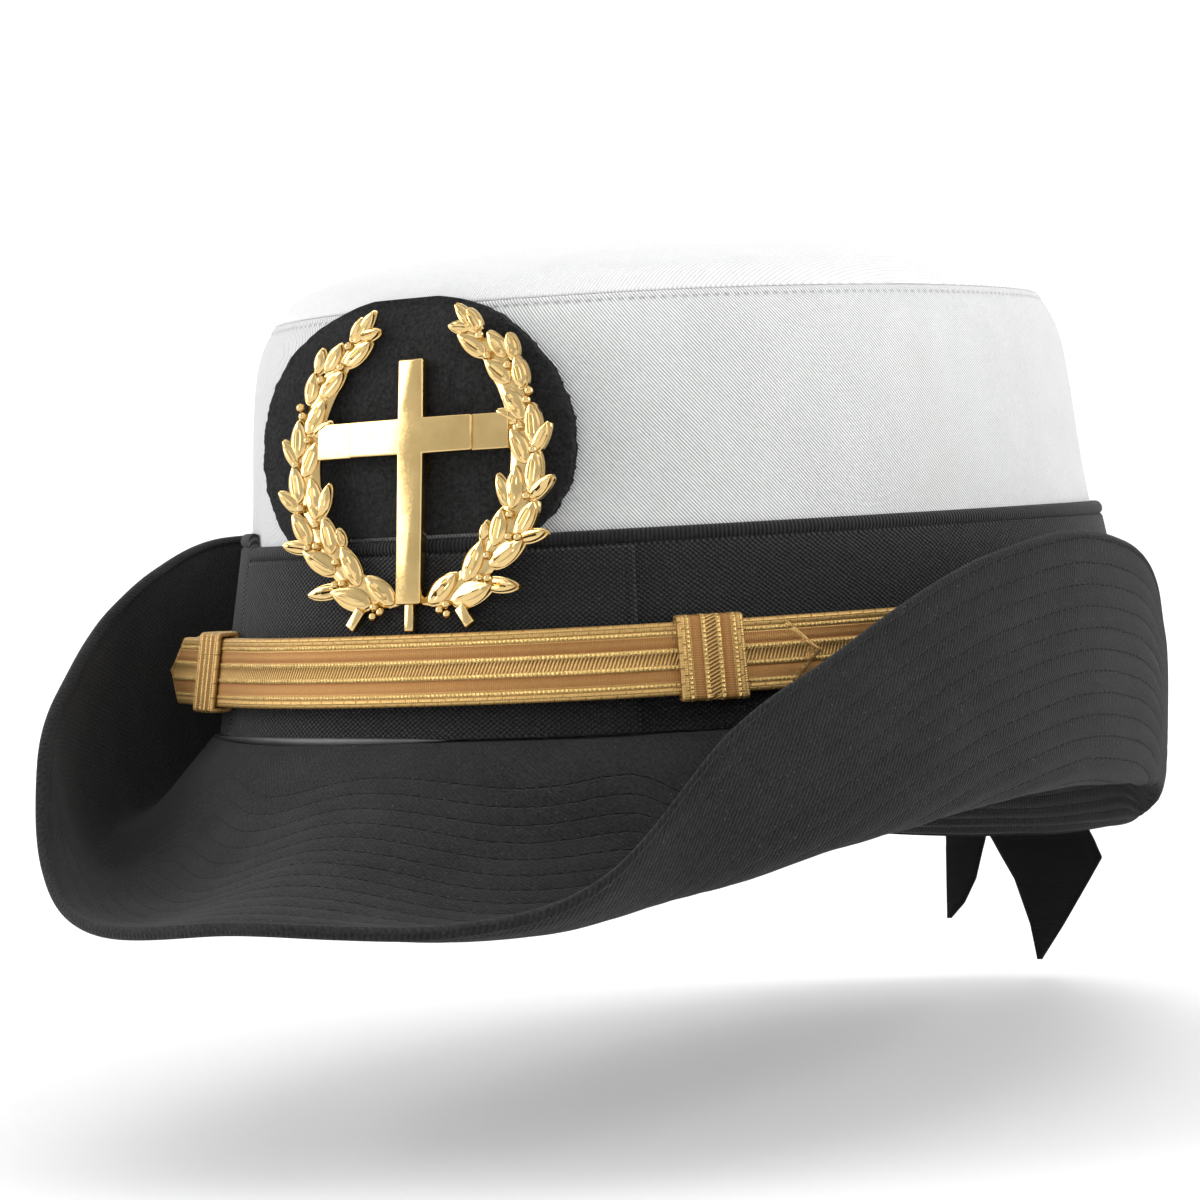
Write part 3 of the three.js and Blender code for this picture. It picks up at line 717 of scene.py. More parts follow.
def brimMiddle(angle):  # points (out, up), slopes and lengths of the brim's middle line, band to edge
    degrees = math.degrees(angle)
    read = {name: smoothAt(brimSections, "at", name, abs(degrees), True)
            for name in ("out", "up", "kneeOut", "kneeUp", "lift", "spread", "sink")}
    right = 1 if degrees < 0 else 0
    start = (0, -hat["gap"] - brim["thick"] / 2)
    knee = (read["kneeOut"], read["kneeUp"] + right * read["sink"])
    edge = (read["out"] + right * read["spread"], read["up"] + right * read["lift"])
    points, slopes = [], []
    for i in range(brim["fine"] + 1):
        t = i / brim["fine"]
        ways = list(zip(start, knee, edge))
        points.append([(1 - t) ** 2 * a + 2 * t * (1 - t) * b + t * t * c for a, b, c in ways])
        slope = [2 * (1 - t) * (b - a) + 2 * t * (c - b) for a, b, c in ways]
        size = math.hypot(*slope)
        slopes.append((slope[0] / size, slope[1] / size))
    return points, slopes, lengthsOf(points)


def onMiddle(points, lengths, along):  # the place at a length from the band
    k, share = spanAt(lengths, limit(along, 0, lengths[-1]))
    return [between(a, b, share) for a, b in zip(points[k - 1], points[k])]


def turningSlope(points, lengths, along):  # it turns slowly round the fold, so that the outside is round
    before, after = (onMiddle(points, lengths, along + side * brim["foldReach"]) for side in (-1, 1))
    size = max(math.dist(before, after), 1e-6)
    return (after[0] - before[0]) / size, (after[1] - before[1]) / size


def rowPlace(row):  # distance of a stitch row from the edge
    if row == 0:
        return brim["firstRow"]
    return brim["secondRow"] + (row - 1) * brim["rowStep"]


def brimLines():  # (distance from the edge, depth of the surface, row count) of each line of the mesh
    lines = [(0.0, 1.25, -0.45), (0.12, 0.8, -0.4), (0.4, 0.35, -0.3), (0.85, 0.08, -0.2)]
    for row in range(brim["stitchRows"]):
        place = rowPlace(row)
        reach = 0.45 if row == 0 else 1.25
        for off, depth in ((-reach, 0.0), (-0.25, brim["groove"]), (0.25, brim["groove"]), (1.25, 0.0)):
            lines.append((place + off, depth, row + off / brim["rowStep"]))
        if row < brim["stitchRows"] - 1:
            lines.append(((place + rowPlace(row + 1)) / 2, -brim["pucker"], row + 0.5))
    return lines


def rowsShown(length, face):  # how far the rows show in the cloth, by the way round
    toLeft = length - brim["halfRound"]
    if face > 0:
        onRight, onLeft = smoothStep((toLeft + 62) / 60), smoothStep((toLeft - 90) / 60)
        return between(0.02, 0.35, onRight) * between(1, 0.3, onLeft)
    return between(0.15, 1, smoothStep((abs(toLeft) - 60) / 110))


def makeBrim():
    angles = ringAngles(brim["columns"])
    arc = arcOf(angles, *brim["measured"])
    lines = brimLines()
    reach = lines[-1][0] + 1.5
    half = brim["thick"] / 2
    columns, counts = [], []
    for angle, length in zip(angles, arc):
        points, _, lengths = brimMiddle(angle)
        squeeze = min(1.0, (lengths[-1] - 1.5) / reach)
        outX, outY = outwards(angle)
        baseX, baseY = ovalPoint(angle, brim["halfLength"], brim["halfWidth"])
        turns = length / brim["stitch"]

        def place(off, face, depth):
            along = limit(lengths[-1] - off * squeeze, 0, lengths[-1])
            spot, slope = onMiddle(points, lengths, along), turningSlope(points, lengths, along)
            rough = brim["rough"] * clothWave(baseX + outX * spot[0], baseY + outY * spot[0], spot[1],
                                              brim["roughSize"], 1.3)
            sewn = depth > 0 and off > brim["firstRow"] + 0.5 or depth < 0
            thick = half - depth * (rowsShown(length, face) if sewn else 1)
            out = spot[0] - slope[1] * (thick * face + rough)
            up = spot[1] + slope[0] * (thick * face + rough)
            return baseX + outX * out, baseY + outY * out, up, length, off * face

        seatX, seatY, _ = crownPoint(angle, 0, -crown["wall"])
        inner = lengths[-1] / squeeze
        column = [(seatX, seatY, -hat["gap"], length, 60), (*place(inner, 1, 0)[:3], length, 58)]
        column += [place(off, 1, depth) for off, depth, _ in reversed(lines)]
        column += [place(off, -1, depth) for off, depth, _ in lines[1:]]
        column += [(*place(inner, -1, 0)[:3], length, -58),
                   (seatX, seatY, -hat["gap"] - brim["thick"], length, -60)]
        unsewn = [(turns, brim["unsewn"])] * 2
        rows = [row for _, _, row in lines[::-1] + lines[1:]]
        columns.append(column)
        counts.append(unsewn + [(turns + row * brim["shift"], row) for row in rows] + unsewn)
    made = clothGrid("brim_cloth", columns, ring=True, tube=True)
    return made, columns, counts


def addStitchMap(obj, columns, counts):  # a second map that counts stitches and rows
    pairs = {(round(point[3], 3), round(point[4], 3)): pair
             for column, count in zip(columns, counts) for point, pair in zip(column, count)}
    layers = obj.data.uv_layers
    values = [0.0] * (len(obj.data.loops) * 2)
    layers["cloth"].data.foreach_get("uv", values)
    made = []
    for u, v in zip(values[::2], values[1::2]):
        pair = pairs.get((round(u, 3), round(v, 3)))
        if pair is None:  # the closing column
            turns, row = pairs.get((0.0, round(v, 3)), (0, brim["unsewn"]))
            pair = (turns + u / brim["stitch"], row)
        made += pair
    layers.new(name="stitch").data.foreach_set("uv", made)
    layers["cloth"].active = True


blackTwill = brimMaterial()
brimPiece, brimColumns, brimCounts = makeBrim()
addStitchMap(brimPiece, brimColumns, brimCounts)
finishPiece(brimPiece, blackTwill, ["brim"])
print("brim made", len(brimPiece.data.polygons))


# Felt behind the badge.
felt = {"thick": 1.8, "curve": 0.0047, "shift": -3.6, "columns": 60, "rows": 120, "fray": 0.4, "round": 0.4,
        "low": 36.1, "high": 79, "middle": 51, "halfWidth": 34.9, "above": 28.5, "below": 23.5, "power": 2.1,
        "lump": 0.12}


def feltHalf(up):  # half the width of the oval at that height
    reach = felt["above"] if up > felt["middle"] else felt["below"]
    share = abs(up - felt["middle"]) / reach
    return felt["halfWidth"] * (1 - share ** felt["power"]) ** (1 / felt["power"])


def feltPoint(x, up, out):
    return x, crownPoint(0, up, 0)[1] - hat["gap"] - out + felt["curve"] * x * x, up


def makeFelt():
    top, count = felt["high"], felt["rows"]
    ups = [between(felt["low"], top, math.sin(math.pi / 2 * i / count)) for i in range(count + 1)]
    columns = []
    for up in ups:
        left, right = (felt["shift"] + side * feltHalf(up)
                       + felt["fray"] * (clothWave(up, 0, 0, 2.3, coarse) + clothWave(up, 0, 0, 0.8, fine))
                       for side, coarse, fine in ((-1, 2.2, 9.2), (1, 5.2, 4.2)))
        thin = 0.35 if up == top else 1
        front, back = [], []
        for i in range(felt["columns"] + 1):
            share = i / felt["columns"]
            x = between(left, right, 0.5 - 0.5 * math.cos(math.pi * share))
            toEdge = min(x - left, right - x)
            edge = math.sqrt(1 - (1 - limit(toEdge / felt["round"], 0, 1)) ** 2)
            lump = felt["lump"] * clothWave(x, up, 0, 6, 1.1)
            front.append((*feltPoint(x, up, felt["thick"] * (0.5 + 0.5 * edge) * thin + lump), x, up))
            back.append((*feltPoint(x, up, felt["thick"] * 0.5 * (1 - edge)), x, up))
        columns.append(front + back[::-1])
    finishPiece(clothGrid("badge_felt", columns, tube=True, capEnds=True),
                blackFelt, ["badge_backing"])


makeFelt()
print("felt made")


# Chin strap.
strap = {"height": 12.7, "middle": 12.4, "thick": 0.9, "point": 6.5, "leaves": -31, "tipAt": 49.5,
         "free": 33.5, "innerFree": 23.5, "lean": 0.165, "step": 0.9, "binding": 1.1, "wobble": 0.06}
strapAngles = [96, 90, 83, 76, 69, 62, 55.5, 49.5, 43, 37, 31, 25, 17, 9, 1, -7, -15, -23]
strapStandoff = table("at out", (-31, 4.95), (24, 4.95), (37, 3.65), (60, 2.9), (96, 2.6))
strapReturn = table("at out", (-66, 6.4), (-76, 3.6), (-84, 2.7), (-90, 2.6), (-96, 2.6))
keeper = {"width": 11.8, "wall": 0.8, "fromLeftTip": 20.2, "fromRightTip": 25.5, "steps": (14, 1, 6, 1)}


def strapStation(degrees, out):
    x, y, _ = crownPoint(math.radians(degrees), strap["middle"], out)
    return Vector((x, y, strap["middle"]))


def strapRoute(layer):  # the same stations as the solid, then a centripetal curve through them
    shift = layer * (strap["thick"] + hat["gap"])
    start = strap["tipAt"] if layer else strapAngles[0]
    stations = [strapStation(at, straightAt(strapStandoff, "at", "out", at) + shift)
                for at in strapAngles if at <= start]
    leave = strapStation(strap["leaves"], strapStandoff[0]["out"] + shift)
    ahead = (strapStation(strap["leaves"] - 1, strapStandoff[0]["out"] + shift) - leave).normalized()
    for run in (0, 11, 20, strap["free"] if layer else strap["innerFree"]):
        stations.append(leave + ahead * run)
    if not layer:
        stations += [strapStation(row["at"], row["out"]) for row in strapReturn]
    dense = []
    for p0, p1, p2, p3 in spansOf(stations):
        d0, d1, d2 = (max(apart(a, b) ** 0.5, 1e-4) for a, b in ((p0, p1), (p1, p2), (p2, p3)))
        leave = ((p1 - p0) / d0 - (p2 - p0) / (d0 + d1) + (p2 - p1) / d1) * d1
        arrive = ((p2 - p1) / d1 - (p3 - p1) / (d1 + d2) + (p3 - p2) / d2) * d1
        dense += [curveAt(k / 12, p1, p2, leave, arrive) for k in range(12)]
    dense.append(stations[-1])
    return dense, lengthsOf(dense, apart)


def onRoute(route, along):
    dense, lengths = route
    k, share = spanAt(lengths, limit(along, 0, lengths[-1]))
    spot = dense[k - 1].lerp(dense[k], share)
    ahead = (dense[min(k + 1, len(dense) - 1)] - dense[max(k - 2, 0)]).normalized()
    out = Vector((-ahead.y, ahead.x, 0)).normalized()
    if out.dot(Vector((spot.x, spot.y, 0))) < 0:
        out = -out
    return spot, ahead, out


def lacePoint(route, along, out, up):  # on a strap that leans back with the band
    spot, _, away = onRoute(route, along)
    corner = spot + away * (out - up * strap["lean"])
    return corner.x, corner.y, spot.z + up


def laceProfile():  # (distance off the middle, rise) right across the lace
    side = [(band["off"], band["rise"]) for band in laceBands]
    return [(-off, rise) for off, rise in reversed(side)] + side[1:]


def makeStrap(name, route, pointed, node):
    total = route[1][-1]
    count = int(total / strap["step"])
    full, half = strap["height"] / 2, strap["thick"] / 2
    columns = []
    for along in (total * i / count for i in range(count + 1)):
        toEnd = min(along, total - along)
        width = full * limit(toEnd / strap["point"], 0.06, 1) if pointed else full
        column = []
        for off, rise in laceProfile():
            up, mark = off / lace["half"] * full, off
            beyond = abs(up) - (width - strap["binding"])
            if width < full - 0.01 and beyond > 0:  # the bound edge of the point
                over = limit(beyond / (full - width + strap["binding"]) * 3, 0, 1)
                up = math.copysign(max(width - strap["binding"] * (1 - over), 0), up)
                mark, rise = math.copysign(between(5.0, 6.3, over), up), 0.34 - 0.3 * over * over
            wobble = strap["wobble"] * clothWave(along, up, 0, 4, 3.3)
            column.append((*lacePoint(route, along, half - 0.12 + rise + wobble, up), along, mark))
        column += [(*lacePoint(route, along, -half, up), along, up * 0.98) for up in (width, -width)]
        columns.append(column)
    finishPiece(clothGrid(name, columns, tube=True, capEnds=True), goldLace, [node])


def makeKeeper(name, route, distance, node):  # lace wound round both straps, its ribs upright
    inner, outer = -strap["thick"] * 1.5 - 2 * hat["gap"], strap["thick"] / 2 + hat["gap"]
    half, wall = strap["height"] / 2 + hat["gap"], keeper["wall"]
    corners = [(outer, half), (inner, half), (inner, -half), (outer, -half)]
    path = []  # (out, up, direction out, direction up) round the section
    for k, (start, end) in enumerate(zip(corners[-1:] + corners, corners)):
        steps = keeper["steps"][k]
        sides = [(step / steps, k) for step in range(steps + 1)]
        for share, turn in sides + [(1, k + step / 6) for step in range(1, 6)]:
            out, up = (between(a, b, share) for a, b in zip(start, end))
            path.append((out, up, math.cos(math.pi / 2 * turn), math.sin(math.pi / 2 * turn)))
    around = lengthsOf([(out + dirOut * wall, up + dirUp * wall) for out, up, dirOut, dirUp in path])
    reach = keeper["width"] / 2
    ribs = [(off / lace["half"] * reach, wall - 0.1 + rise * 0.8, off) for off, rise in laceProfile()]
    ribs += [(side * reach, 0.02, side * 6.2) for side in (1, -1)]
    columns = []
    for (out, up, dirOut, dirUp), length in zip(path, around):
        columns.append([(*lacePoint(route, distance + across, out + dirOut * thick, up + dirUp * thick),
                         length, off) for across, thick, off in ribs])
    finishPiece(clothGrid(name, columns, ring=True, tube=True), goldLace, [node])


innerRoute, outerRoute = strapRoute(0), strapRoute(1)
makeStrap("strap_inner_lace", innerRoute, False, "chin_strap_inner")
makeStrap("strap_outer_lace", outerRoute, True, "chin_strap_outer")
makeKeeper("keeper_left_lace", outerRoute, keeper["fromLeftTip"], "strap_keeper_left")
rightKeeperAt = outerRoute[1][-1] - keeper["fromRightTip"]
makeKeeper("keeper_right_lace", outerRoute, rightKeeperAt, "strap_keeper_right")
print("strap made")


# Ribbon tails.
tail = {"thick": 1.0, "shown": 0.5, "gap": 0.5, "drop": 29.5, "columns": 34, "rows": 150, "curl": 0.18}
tailSides = {
    "left": table(
        "along from to",
        (0, 2, 15), (0.5, -0.3, 24), (0.59, -0.3, 25.6), (0.67, 2.9, 28.1), (0.74, 5.8, 24.8),
        (0.885, 9.2, 17.8), (1, 10.6, 11.8)),
    "right": table(
        "along from to",
        (0, -16, -4.5), (0.5, -11, -0.9), (0.6, -11.2, -0.8), (0.74, -11.6, -3.9), (0.82, -11.8, -7.2),
        (0.87, -11.9, -10.8)),
}


def tailPath():  # (y, z) along the ribbon, with its lengths
    points, slopes, _ = brimMiddle(math.pi)
    clear = brim["thick"] / 2 + tail["gap"] + tail["thick"] / 2
    spots = []
    for i in range(brim["fine"] * 2 // 15, brim["fine"] + 1, brim["fine"] // 15):
        (out, up), (slopeOut, slopeUp) = points[i], slopes[i]
        spots.append((brim["halfLength"] + out - slopeUp * clear, up + slopeOut * clear))
    edgeY, edgeZ = spots[-1]
    hangY, hangZ = edgeY + brim["thick"] * 0.6, edgeZ - brim["thick"] * 1.2
    endZ = brimSections[-1]["up"] - tail["drop"]
    spots += [(hangY, hangZ)] + [(hangY, between(hangZ, endZ, i / 8)) for i in range(1, 9)]
    spots = [Vector(spot) for spot in spots]
    dense = []
    for p0, p1, p2, p3 in spansOf(spots):
        for t in (k / 8 for k in range(8)):
            dense.append(0.5 * ((2 * p1) + (p2 - p0) * t + (2 * p0 - 5 * p1 + 4 * p2 - p3) * t * t
                                + (3 * p1 - p0 - 3 * p2 + p3) * t ** 3))
    dense.append(spots[-1])
    return dense, lengthsOf(dense, apart)


def makeTail(name, rows, node, lean):
    dense, lengths = tailPath()
    last = rows[-1]["along"]
    columns, area = [], 0.0
    half = tail["shown"] / 2
    for i in range(tail["rows"] + 1):
        along = last * i / tail["rows"] * lengths[-1]
        k, share = spanAt(lengths, along)
        spot = dense[k - 1].lerp(dense[k], share)
        ahead = (dense[k] - dense[k - 1]).normalized()
        normal = Vector((-ahead.y, ahead.x))
        low, high = (straightAt(rows, "along", side, along / lengths[-1]) for side in ("from", "to"))
        if high - low < 1:
            low, high = (low + high) / 2 - 0.5, (low + high) / 2 + 0.5
        column = []
        for face, steps in ((1, range(tail["columns"] + 1)), (-1, range(tail["columns"], -1, -1))):
            for step in steps:
                share = step / tail["columns"]
                x = between(low, high, share)
                curl = tail["curl"] * math.sin(share * math.pi) * lean
                curl *= smoothStep((along / lengths[-1] - 0.6) / 0.3)
                off = curl + face * half * (0.4 if step in (0, tail["columns"]) else 1)
                column.append((x, spot.x + normal.x * off, spot.y + normal.y * off, x, along))
        columns.append(column)
        area += (high - low) * last * lengths[-1] / tail["rows"]
    made = clothGrid(name, columns, tube=True, capEnds=True)
    finishPiece(made, blackRibbon, [node])


makeTail("ribbon_left", tailSides["left"], "ribbon_tail_left", 1)
makeTail("ribbon_right", tailSides["right"], "ribbon_tail_right", -1)
print("tails made")


# Badge.
badge = {"low": 22, "middle": 48, "high": 68, "shift": 1.7, "plate": 0.95, "leafRise": 0.15, "dome": 0.26,
         "tilt": 0.4, "vein": 0.3, "groove": 0.1, "wider": 1.2, "bedShare": 0.9, "bedSpread": 0.3,
         "berry": 0.85, "berryRise": 0.35, "stemRise": 0.9, "stemBevel": 0.3, "post": 2.5}
# On the wearer's left, from each leaf's foot to its point; the badge's own frame starts at its middle.
leafPlaces = table(
    "x y toX toY width",
    (13.3, 23.5, 8.9, 28.8, 2.2), (13.8, 24.0, 11.5, 27.8, 1.8), (12.1, 24.5, 7.6, 25.1, 1.9),
    (15.3, 19.6, 9.5, 23.4, 2.7), (19.5, 18.7, 15.9, 23.4, 2.5), (21.2, 18.4, 20.1, 22.8, 2.1),
    (20.6, 14.3, 15.4, 18.4, 3.0), (23.1, 13.1, 21.7, 18.6, 2.6), (23.5, 7.6, 19.4, 13.4, 3.1),
    (22.0, 7.0, 18.0, 9.3, 2.0), (25.5, 3.1, 25.0, 10.1, 2.9), (25.4, 1.6, 28.5, 6.5, 2.0),
    (24.2, -0.3, 21.0, 5.9, 3.0), (25.0, -5.1, 26.1, 1.8, 2.9), (24.8, -6.4, 29.3, -2.9, 2.1),
    (21.1, -8.2, 22.2, -0.6, 3.1), (20.2, -7.6, 18.3, -2.0, 2.2), (22.2, -12.8, 26.1, -7.1, 2.9),
    (22.4, -13.5, 28.3, -12.6, 1.9), (17.4, -14.6, 19.3, -8.1, 3.0), (15.0, -13.4, 16.1, -10.2, 1.7),
    (16.6, -17.9, 23.7, -13.9, 3.2), (11.3, -20.6, 15.2, -13.6, 3.1), (8.7, -24.0, 17.3, -21.5, 3.6),
    (15.4, -21.0, 22.4, -21.9, 2.2), (3.7, -24.1, 9.7, -19.2, 3.1))
berryPlaces = [(14.2, 22.9), (15.9, 19.2), (20.2, 17.2), (24.7, 12.4), (24.2, 10.8), (23.0, 6.3),
               (25.6, 2.0), (24.4, -6.1), (21.0, -9.2), (20.8, -13.1), (22.7, -13.3), (16.3, -16.2),
               (14.9, -20.1), (16.5, -20.3), (7.8, -24.6), (6.4, -25.5), (8.0, -26.3)]
crossSize = {"foot": -24.4, "head": 19.6, "width": 5.3, "arm": 13.2, "armLow": 2.5, "armHigh": 9,
             "front": 2.3, "bevel": 0.38, "barReach": 20.6, "barFront": 1.7, "barBevel": 0.25}
stemPlaces = [(0, -24, 0, -29.2, 1.9), (10.6, -25.0, 13.0, -28.3, 2.1)]
wreathLine = {"halfWidth": 23.0, "halfHeight": 25.4, "rise": 1.4, "width": 4.6, "to": 152}

badgeFoot = Vector(crownPoint(0, badge["low"], 3 * hat["gap"] + band["thick"] + panel["thick"]))
badgeHead = Vector(crownPoint(0, badge["high"], 3 * hat["gap"] + felt["thick"]))
badgeMiddle = badgeFoot.lerp(badgeHead, (badge["middle"] - badge["low"]) / (badge["high"] - badge["low"]))
badgeMiddle.x = badge["shift"]
badgeUp = (badgeHead - badgeFoot).normalized()
badgeAcross = Vector((1, 0, 0))
badgeOut = badgeAcross.cross(badgeUp)


def placeOnBadge(obj):  # from the badge's own frame, in millimetres, to the hat
    for vertex in obj.data.vertices:
        x, y, z = vertex.co
        vertex.co = (badgeMiddle + badgeAcross * x + badgeUp * y + badgeOut * z) * mm


def closeUnder():  # draws the rim of a sheet down to the felt and closes it there
    editAll()
    bpy.ops.mesh.region_to_loop()
    bpy.ops.mesh.extrude_region_move()
    bpy.ops.transform.resize(value=(1, 1, 0), center_override=(0, 0, 0))
    bpy.ops.mesh.edge_face_add()
    facesOut()


# One leaf along +x, shaped from a grid: pointed at both ends, domed, with a raised middle vein.
def leafShape(name, width, length, height, dome, vein, spread):
    deselectAll()
    bpy.ops.mesh.primitive_grid_add(x_subdivisions=14, y_subdivisions=10, size=2)
    leaf = bpy.context.object
    leaf.name = name
    for vertex in leaf.data.vertices:
        share, side = (vertex.co.x + 1) / 2, vertex.co.y
        bent = 0.5 - 0.5 * math.cos(math.pi * share)
        full = math.sin(math.pi * bent ** 0.85) ** 0.62 if 0 < bent < 1 else 0
        half = width / 2 * max(full, 0.05) + spread
        side = math.copysign(abs(side) ** 0.8, side)
        edge = abs(side) ** 8
        rise = height + dome * full ** 0.5 * (1 - side * side) + (badge["tilt"] * bent if dome else 0)
        if vein and 0.1 < bent < 0.86:
            ends = min(1, (bent - 0.1) / 0.1, (0.86 - bent) / 0.12)
            rise += vein * math.exp(-(side * half / 0.17) ** 2) * ends
            rise -= badge["groove"] * math.exp(-((abs(side) * half - 0.42) / 0.14) ** 2)
        vertex.co = (bent * (length + 2 * spread) - spread, side * half, rise - 0.12 * edge)
    closeUnder()
    return leaf


def layLeaf(row, side, level, bed):
    length = math.dist((row["x"], row["y"]), (row["toX"], row["toY"]))
    width = row["width"] * badge["wider"]
    if bed:
        leaf = leafShape("bed", width * badge["bedShare"], length, badge["plate"] + level, 0, 0,
                         badge["bedSpread"])
    else:
        height = badge["plate"] + badge["leafRise"] + level
        leaf = leafShape("leaf", width, length, height, badge["dome"], badge["vein"], 0)
    leaf.rotation_euler.z = math.atan2(row["toY"] - row["y"], (row["toX"] - row["x"]) * side)
    leaf.location = (row["x"] * side, row["y"], 0)
    settle(leaf)
    return leaf


def bevelledBar(name, lowX, highX, lowY, highY, front, bevel):
    deselectAll()
    bpy.ops.mesh.primitive_cube_add(size=1, location=((lowX + highX) / 2, (lowY + highY) / 2, front / 2),
                                    scale=(highX - lowX, highY - lowY, front))
    bar = bpy.context.object
    bar.name = name
    settle(bar)
    roundEdges(bar, bevel)
    return bar


def makeCross():
    size = crossSize
    deselectAll()
    bpy.ops.mesh.primitive_plane_add(size=1)
    cross = bpy.context.object
    cross.name = "cross"
    half, low, high = size["width"] / 2, size["armLow"], size["armHigh"]
    editAll()
    bpy.ops.transform.resize(value=(size["width"], high - low, 1))
    bpy.ops.transform.translate(value=(0, (low + high) / 2, 0))
    bpy.ops.object.mode_set(mode="OBJECT")

    def growSide(test, move):  # extrudes the edges whose ends pass the test
        bpy.ops.object.mode_set(mode="EDIT")
        bpy.ops.mesh.select_mode(type="EDGE")
        bpy.ops.mesh.select_all(action="DESELECT")
        bpy.ops.object.mode_set(mode="OBJECT")
        for edge in cross.data.edges:
            edge.select = all(test(cross.data.vertices[k].co) for k in edge.vertices)
        bpy.ops.object.mode_set(mode="EDIT")
        bpy.ops.mesh.extrude_region_move(TRANSFORM_OT_translate={"value": move})
        bpy.ops.object.mode_set(mode="OBJECT")

    near = 1e-3
    growSide(lambda p: abs(p.y - high) < near, (0, size["head"] - high, 0))
    growSide(lambda p: abs(p.y - low) < near and abs(p.x) < half + near, (0, size["foot"] - low, 0))
    for side in (1, -1):
        growSide(lambda p: abs(p.x - side * half) < near and low - near < p.y < high + near,
                 (side * (size["arm"] - half), 0, 0))
    editAll()
    bpy.ops.mesh.extrude_region_move(TRANSFORM_OT_translate={"value": (0, 0, size["front"])})
    facesOut()
    roundEdges(cross, size["bevel"])
    return cross


def wreathStrip(side):
    deselectAll()
    stations, across = 40, 6
    bpy.ops.mesh.primitive_grid_add(x_subdivisions=stations, y_subdivisions=across, size=2)
    strip = bpy.context.object
    strip.name = "strip"
    for vertex in strip.data.vertices:
        share, off = (vertex.co.x + 1) / 2, vertex.co.y
        angle = math.radians(share * wreathLine["to"])
        width = wreathLine["width"] / 2 * min(1, (1 - share) * 4 + 0.35, share * 6 + 0.1)
        x = (wreathLine["halfWidth"] + off * width) * math.sin(angle)
        y = wreathLine["rise"] - (wreathLine["halfHeight"] + off * width) * math.cos(angle)
        vertex.co = (x * side, y, badge["plate"] * (1 if abs(off) < 0.9 else 0.7))
    closeUnder()
    return strip


def makeBerry(x, y, size):
    deselectAll()
    bpy.ops.mesh.primitive_uv_sphere_add(segments=14, ring_count=8, radius=size,
                                         location=(x, y, badge["plate"] + badge["berryRise"]))
    berry = bpy.context.object
    settle(berry)
    return berry


def makeBadge():
    parts = []
    for side in (1, -1):
        parts.append(wreathStrip(side))
        for k, row in enumerate(leafPlaces):
            level = 0.05 * (k % 3)  # leaves that cross lie at different heights
            parts.append(layLeaf(row, side, level - 0.1, True))
            parts.append(layLeaf(row, side, level, False))
        for x, y in berryPlaces:
            parts.append(makeBerry(x * side, y, badge["berry"]))
        for x, y, toX, toY, width in stemPlaces:
            if x == 0 and side < 0:
                continue
            length = math.dist((x, y), (toX, toY))
            stem = bevelledBar("stem", -width / 2, width / 2, -length, 0, badge["plate"] + badge["stemRise"],
                               badge["stemBevel"])
            stem.rotation_euler.z = math.atan2((toX - x) * side, y - toY)
            stem.location = (x * side, y, 0)
            settle(stem)
            parts.append(stem)
    size = crossSize
    parts.append(bevelledBar("bar", -size["barReach"], size["barReach"], size["armLow"], size["armHigh"],
                             size["barFront"], size["barBevel"]))
    parts.append(makeCross())
    deselectAll()
    standoff = crownPoint(0, badge["middle"], hat["gap"] + felt["thick"])[1] - badgeMiddle.y - hat["gap"]
    bpy.ops.mesh.primitive_cylinder_add(vertices=24, radius=badge["post"], depth=standoff + badge["plate"],
                                        location=(0, 0, (badge["plate"] - standoff) / 2))
    parts.append(bpy.context.object)
    settle(parts[-1])
    deselectAll()
    for part in parts:
        part.select_set(True)
    bpy.context.view_layer.objects.active = parts[0]
    bpy.ops.object.join()
    made = bpy.context.object
    made.name = made.data.name = "badge_gilt"
    placeOnBadge(made)
    smoothShade(made, 42)
    finishPiece(made, gilt, ["cap_badge"])
    return made


badgeGilt = makeBadge()
print("badge made", len(badgeGilt.data.polygons))


# Floor, lights, camera. The solids that still show, the strap's buttons, are gilt.
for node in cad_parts.values():
    if not node.hide_render:
        node.data.materials.clear()
        node.data.materials.append(gilt)

studioLights = [
    {"name": "left", "place": (-1.62, -1.12, 0.8), "size": (1.3, 1.6), "power": 28},
    {"name": "right", "place": (1.95, 0.45, 0.8), "size": (1.3, 1.6), "power": 31},
    {"name": "top", "place": (0, -0.1, 1.9), "size": (2.2, 2.2), "power": 12.5},
    {"name": "front", "place": (0.9, -1.6, 1.0), "size": (1.4, 1.2), "power": 4},
    {"name": "back", "place": (-0.9, 1.6, 1.0), "size": (1.4, 1.0), "power": 7},
    {"name": "wall", "place": (-0.95, 1.6, 1.9), "size": (2.4, 1.2), "power": 34, "aim": (-2.25, 3.65, 0.3)},
]
stageSizes = {"floor": 2.6, "wall": 4.2, "height": 3.4, "below": 0.0735, "steps": 12}  # metres


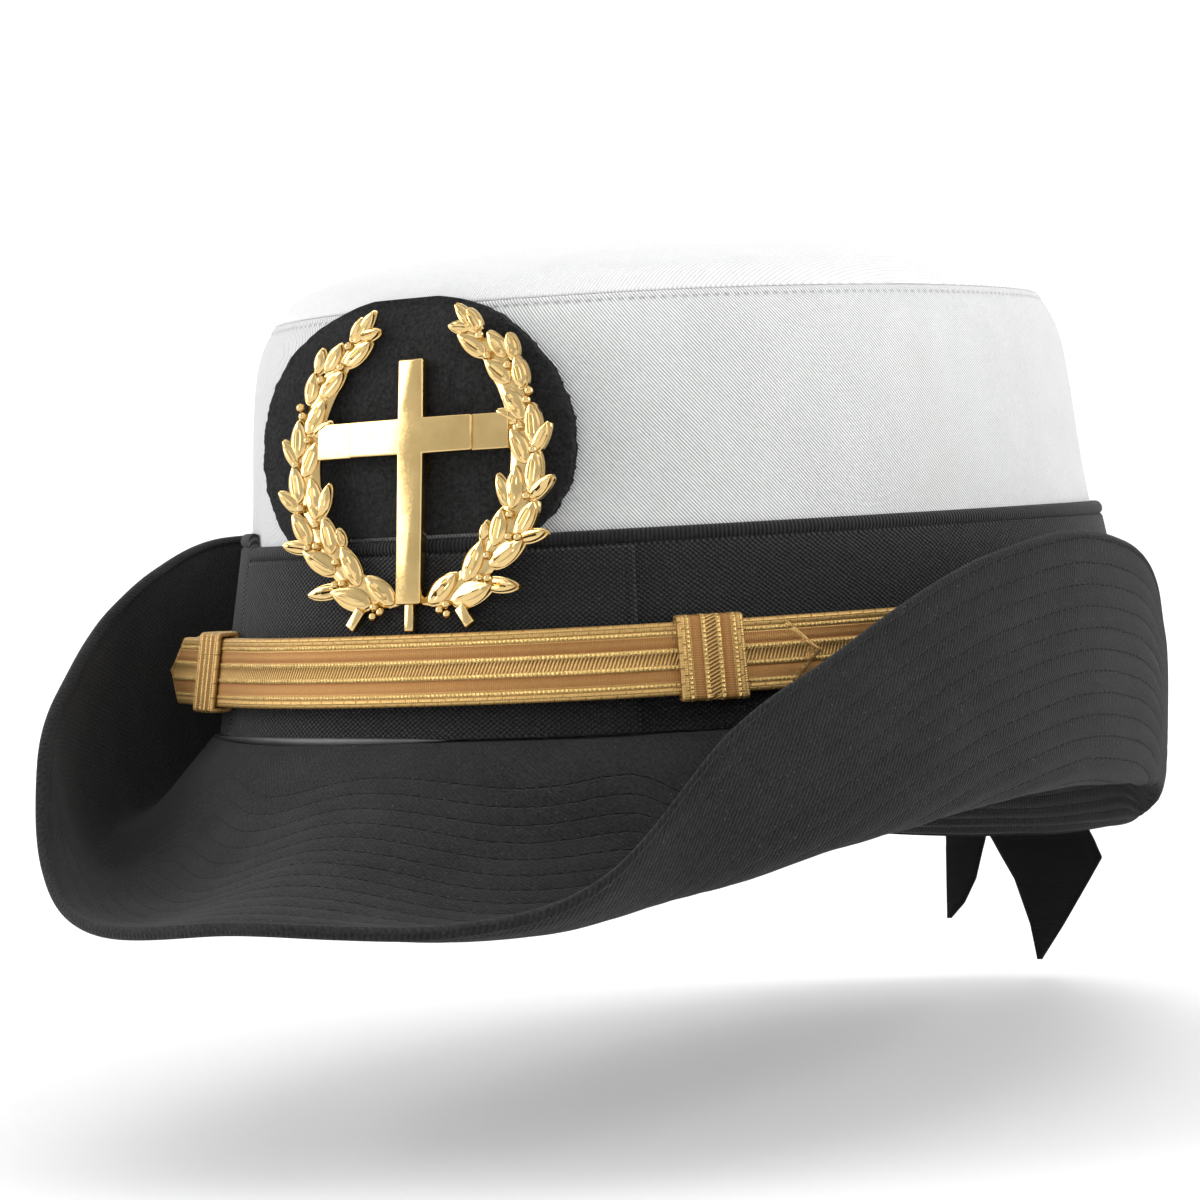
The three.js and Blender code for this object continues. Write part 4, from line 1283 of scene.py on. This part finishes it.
def makeStage():
    deselectAll()
    bpy.ops.mesh.primitive_circle_add(vertices=96, radius=stageSizes["floor"], fill_type="NGON",
                                      location=(0, 0, -stageSizes["below"]))
    floor = bpy.context.object
    floor.name = "pale_floor"
    editAll()
    bpy.ops.mesh.select_mode(type="EDGE")
    bpy.ops.mesh.region_to_loop()
    rise = stageSizes["wall"] - stageSizes["floor"]
    radius, steps = stageSizes["floor"], stageSizes["steps"]
    for step in range(1, steps + 1):  # the floor curves up into a round wall
        turn = math.pi / 2 * step / steps
        wanted = stageSizes["floor"] + rise * math.sin(turn)
        lift = rise * (math.cos(turn - math.pi / 2 / steps) - math.cos(turn))
        bpy.ops.mesh.extrude_region_move(TRANSFORM_OT_translate={"value": (0, 0, lift)})
        bpy.ops.transform.resize(value=(wanted / radius, wanted / radius, 1), center_override=(0, 0, 0))
        radius = wanted
    bpy.ops.mesh.extrude_region_move(TRANSFORM_OT_translate={"value": (0, 0, stageSizes["height"])})
    facesOut(inside=True)
    smoothShade(floor)
    floor.data.materials.append(newMaterial("pale floor", grey(0.93), 0.9)[0])


def makeLight(name, place, size, power, aim=(0, 0, 0.02)):
    deselectAll()
    bpy.ops.object.light_add(type="AREA", location=place)
    lamp = bpy.context.object
    lamp.name = name
    lamp.data.shape = "RECTANGLE"
    lamp.data.size, lamp.data.size_y = size
    lamp.data.energy = power
    lamp.rotation_euler = (Vector(aim) - Vector(place)).to_track_quat("-Z", "Y").to_euler()


bpy.context.scene.view_settings.view_transform = "Standard"
makeStage()
for row in studioLights:
    makeLight(**row)

world = bpy.data.worlds.new("studio")
bpy.context.scene.world = world
world.use_nodes = True
world.node_tree.nodes["Background"].inputs["Color"].default_value = (1, 1, 1, 1)
world.node_tree.nodes["Background"].inputs["Strength"].default_value = 0.5

cameraView = {"azimuth": 31.72, "elevation": 1.36, "roll": -3.13, "distance": 0.7498,
              "aim": (-0.01426, -0.00882, 0.02098), "lens": 112.24}


def makeCamera():
    azimuth, elevation, roll = (math.radians(cameraView[k]) for k in ("azimuth", "elevation", "roll"))
    flat = math.cos(elevation)
    back = Vector((math.sin(azimuth) * flat, -math.cos(azimuth) * flat, math.sin(elevation)))
    deselectAll()
    bpy.ops.object.camera_add(location=Vector(cameraView["aim"]) + back * cameraView["distance"])
    camera = bpy.context.object
    camera.name = "camera"
    level = Vector((math.cos(azimuth), math.sin(azimuth), 0))
    upright = back.cross(level)
    across = level * math.cos(roll) + upright * math.sin(roll)
    up = upright * math.cos(roll) - level * math.sin(roll)
    camera.rotation_euler = Matrix((across, up, back)).transposed().to_euler()
    camera.data.sensor_width = 36
    camera.data.lens = cameraView["lens"]
    camera.data.clip_start, camera.data.clip_end = 0.01, 20
    bpy.context.scene.camera = camera


makeCamera()
print("stage made")
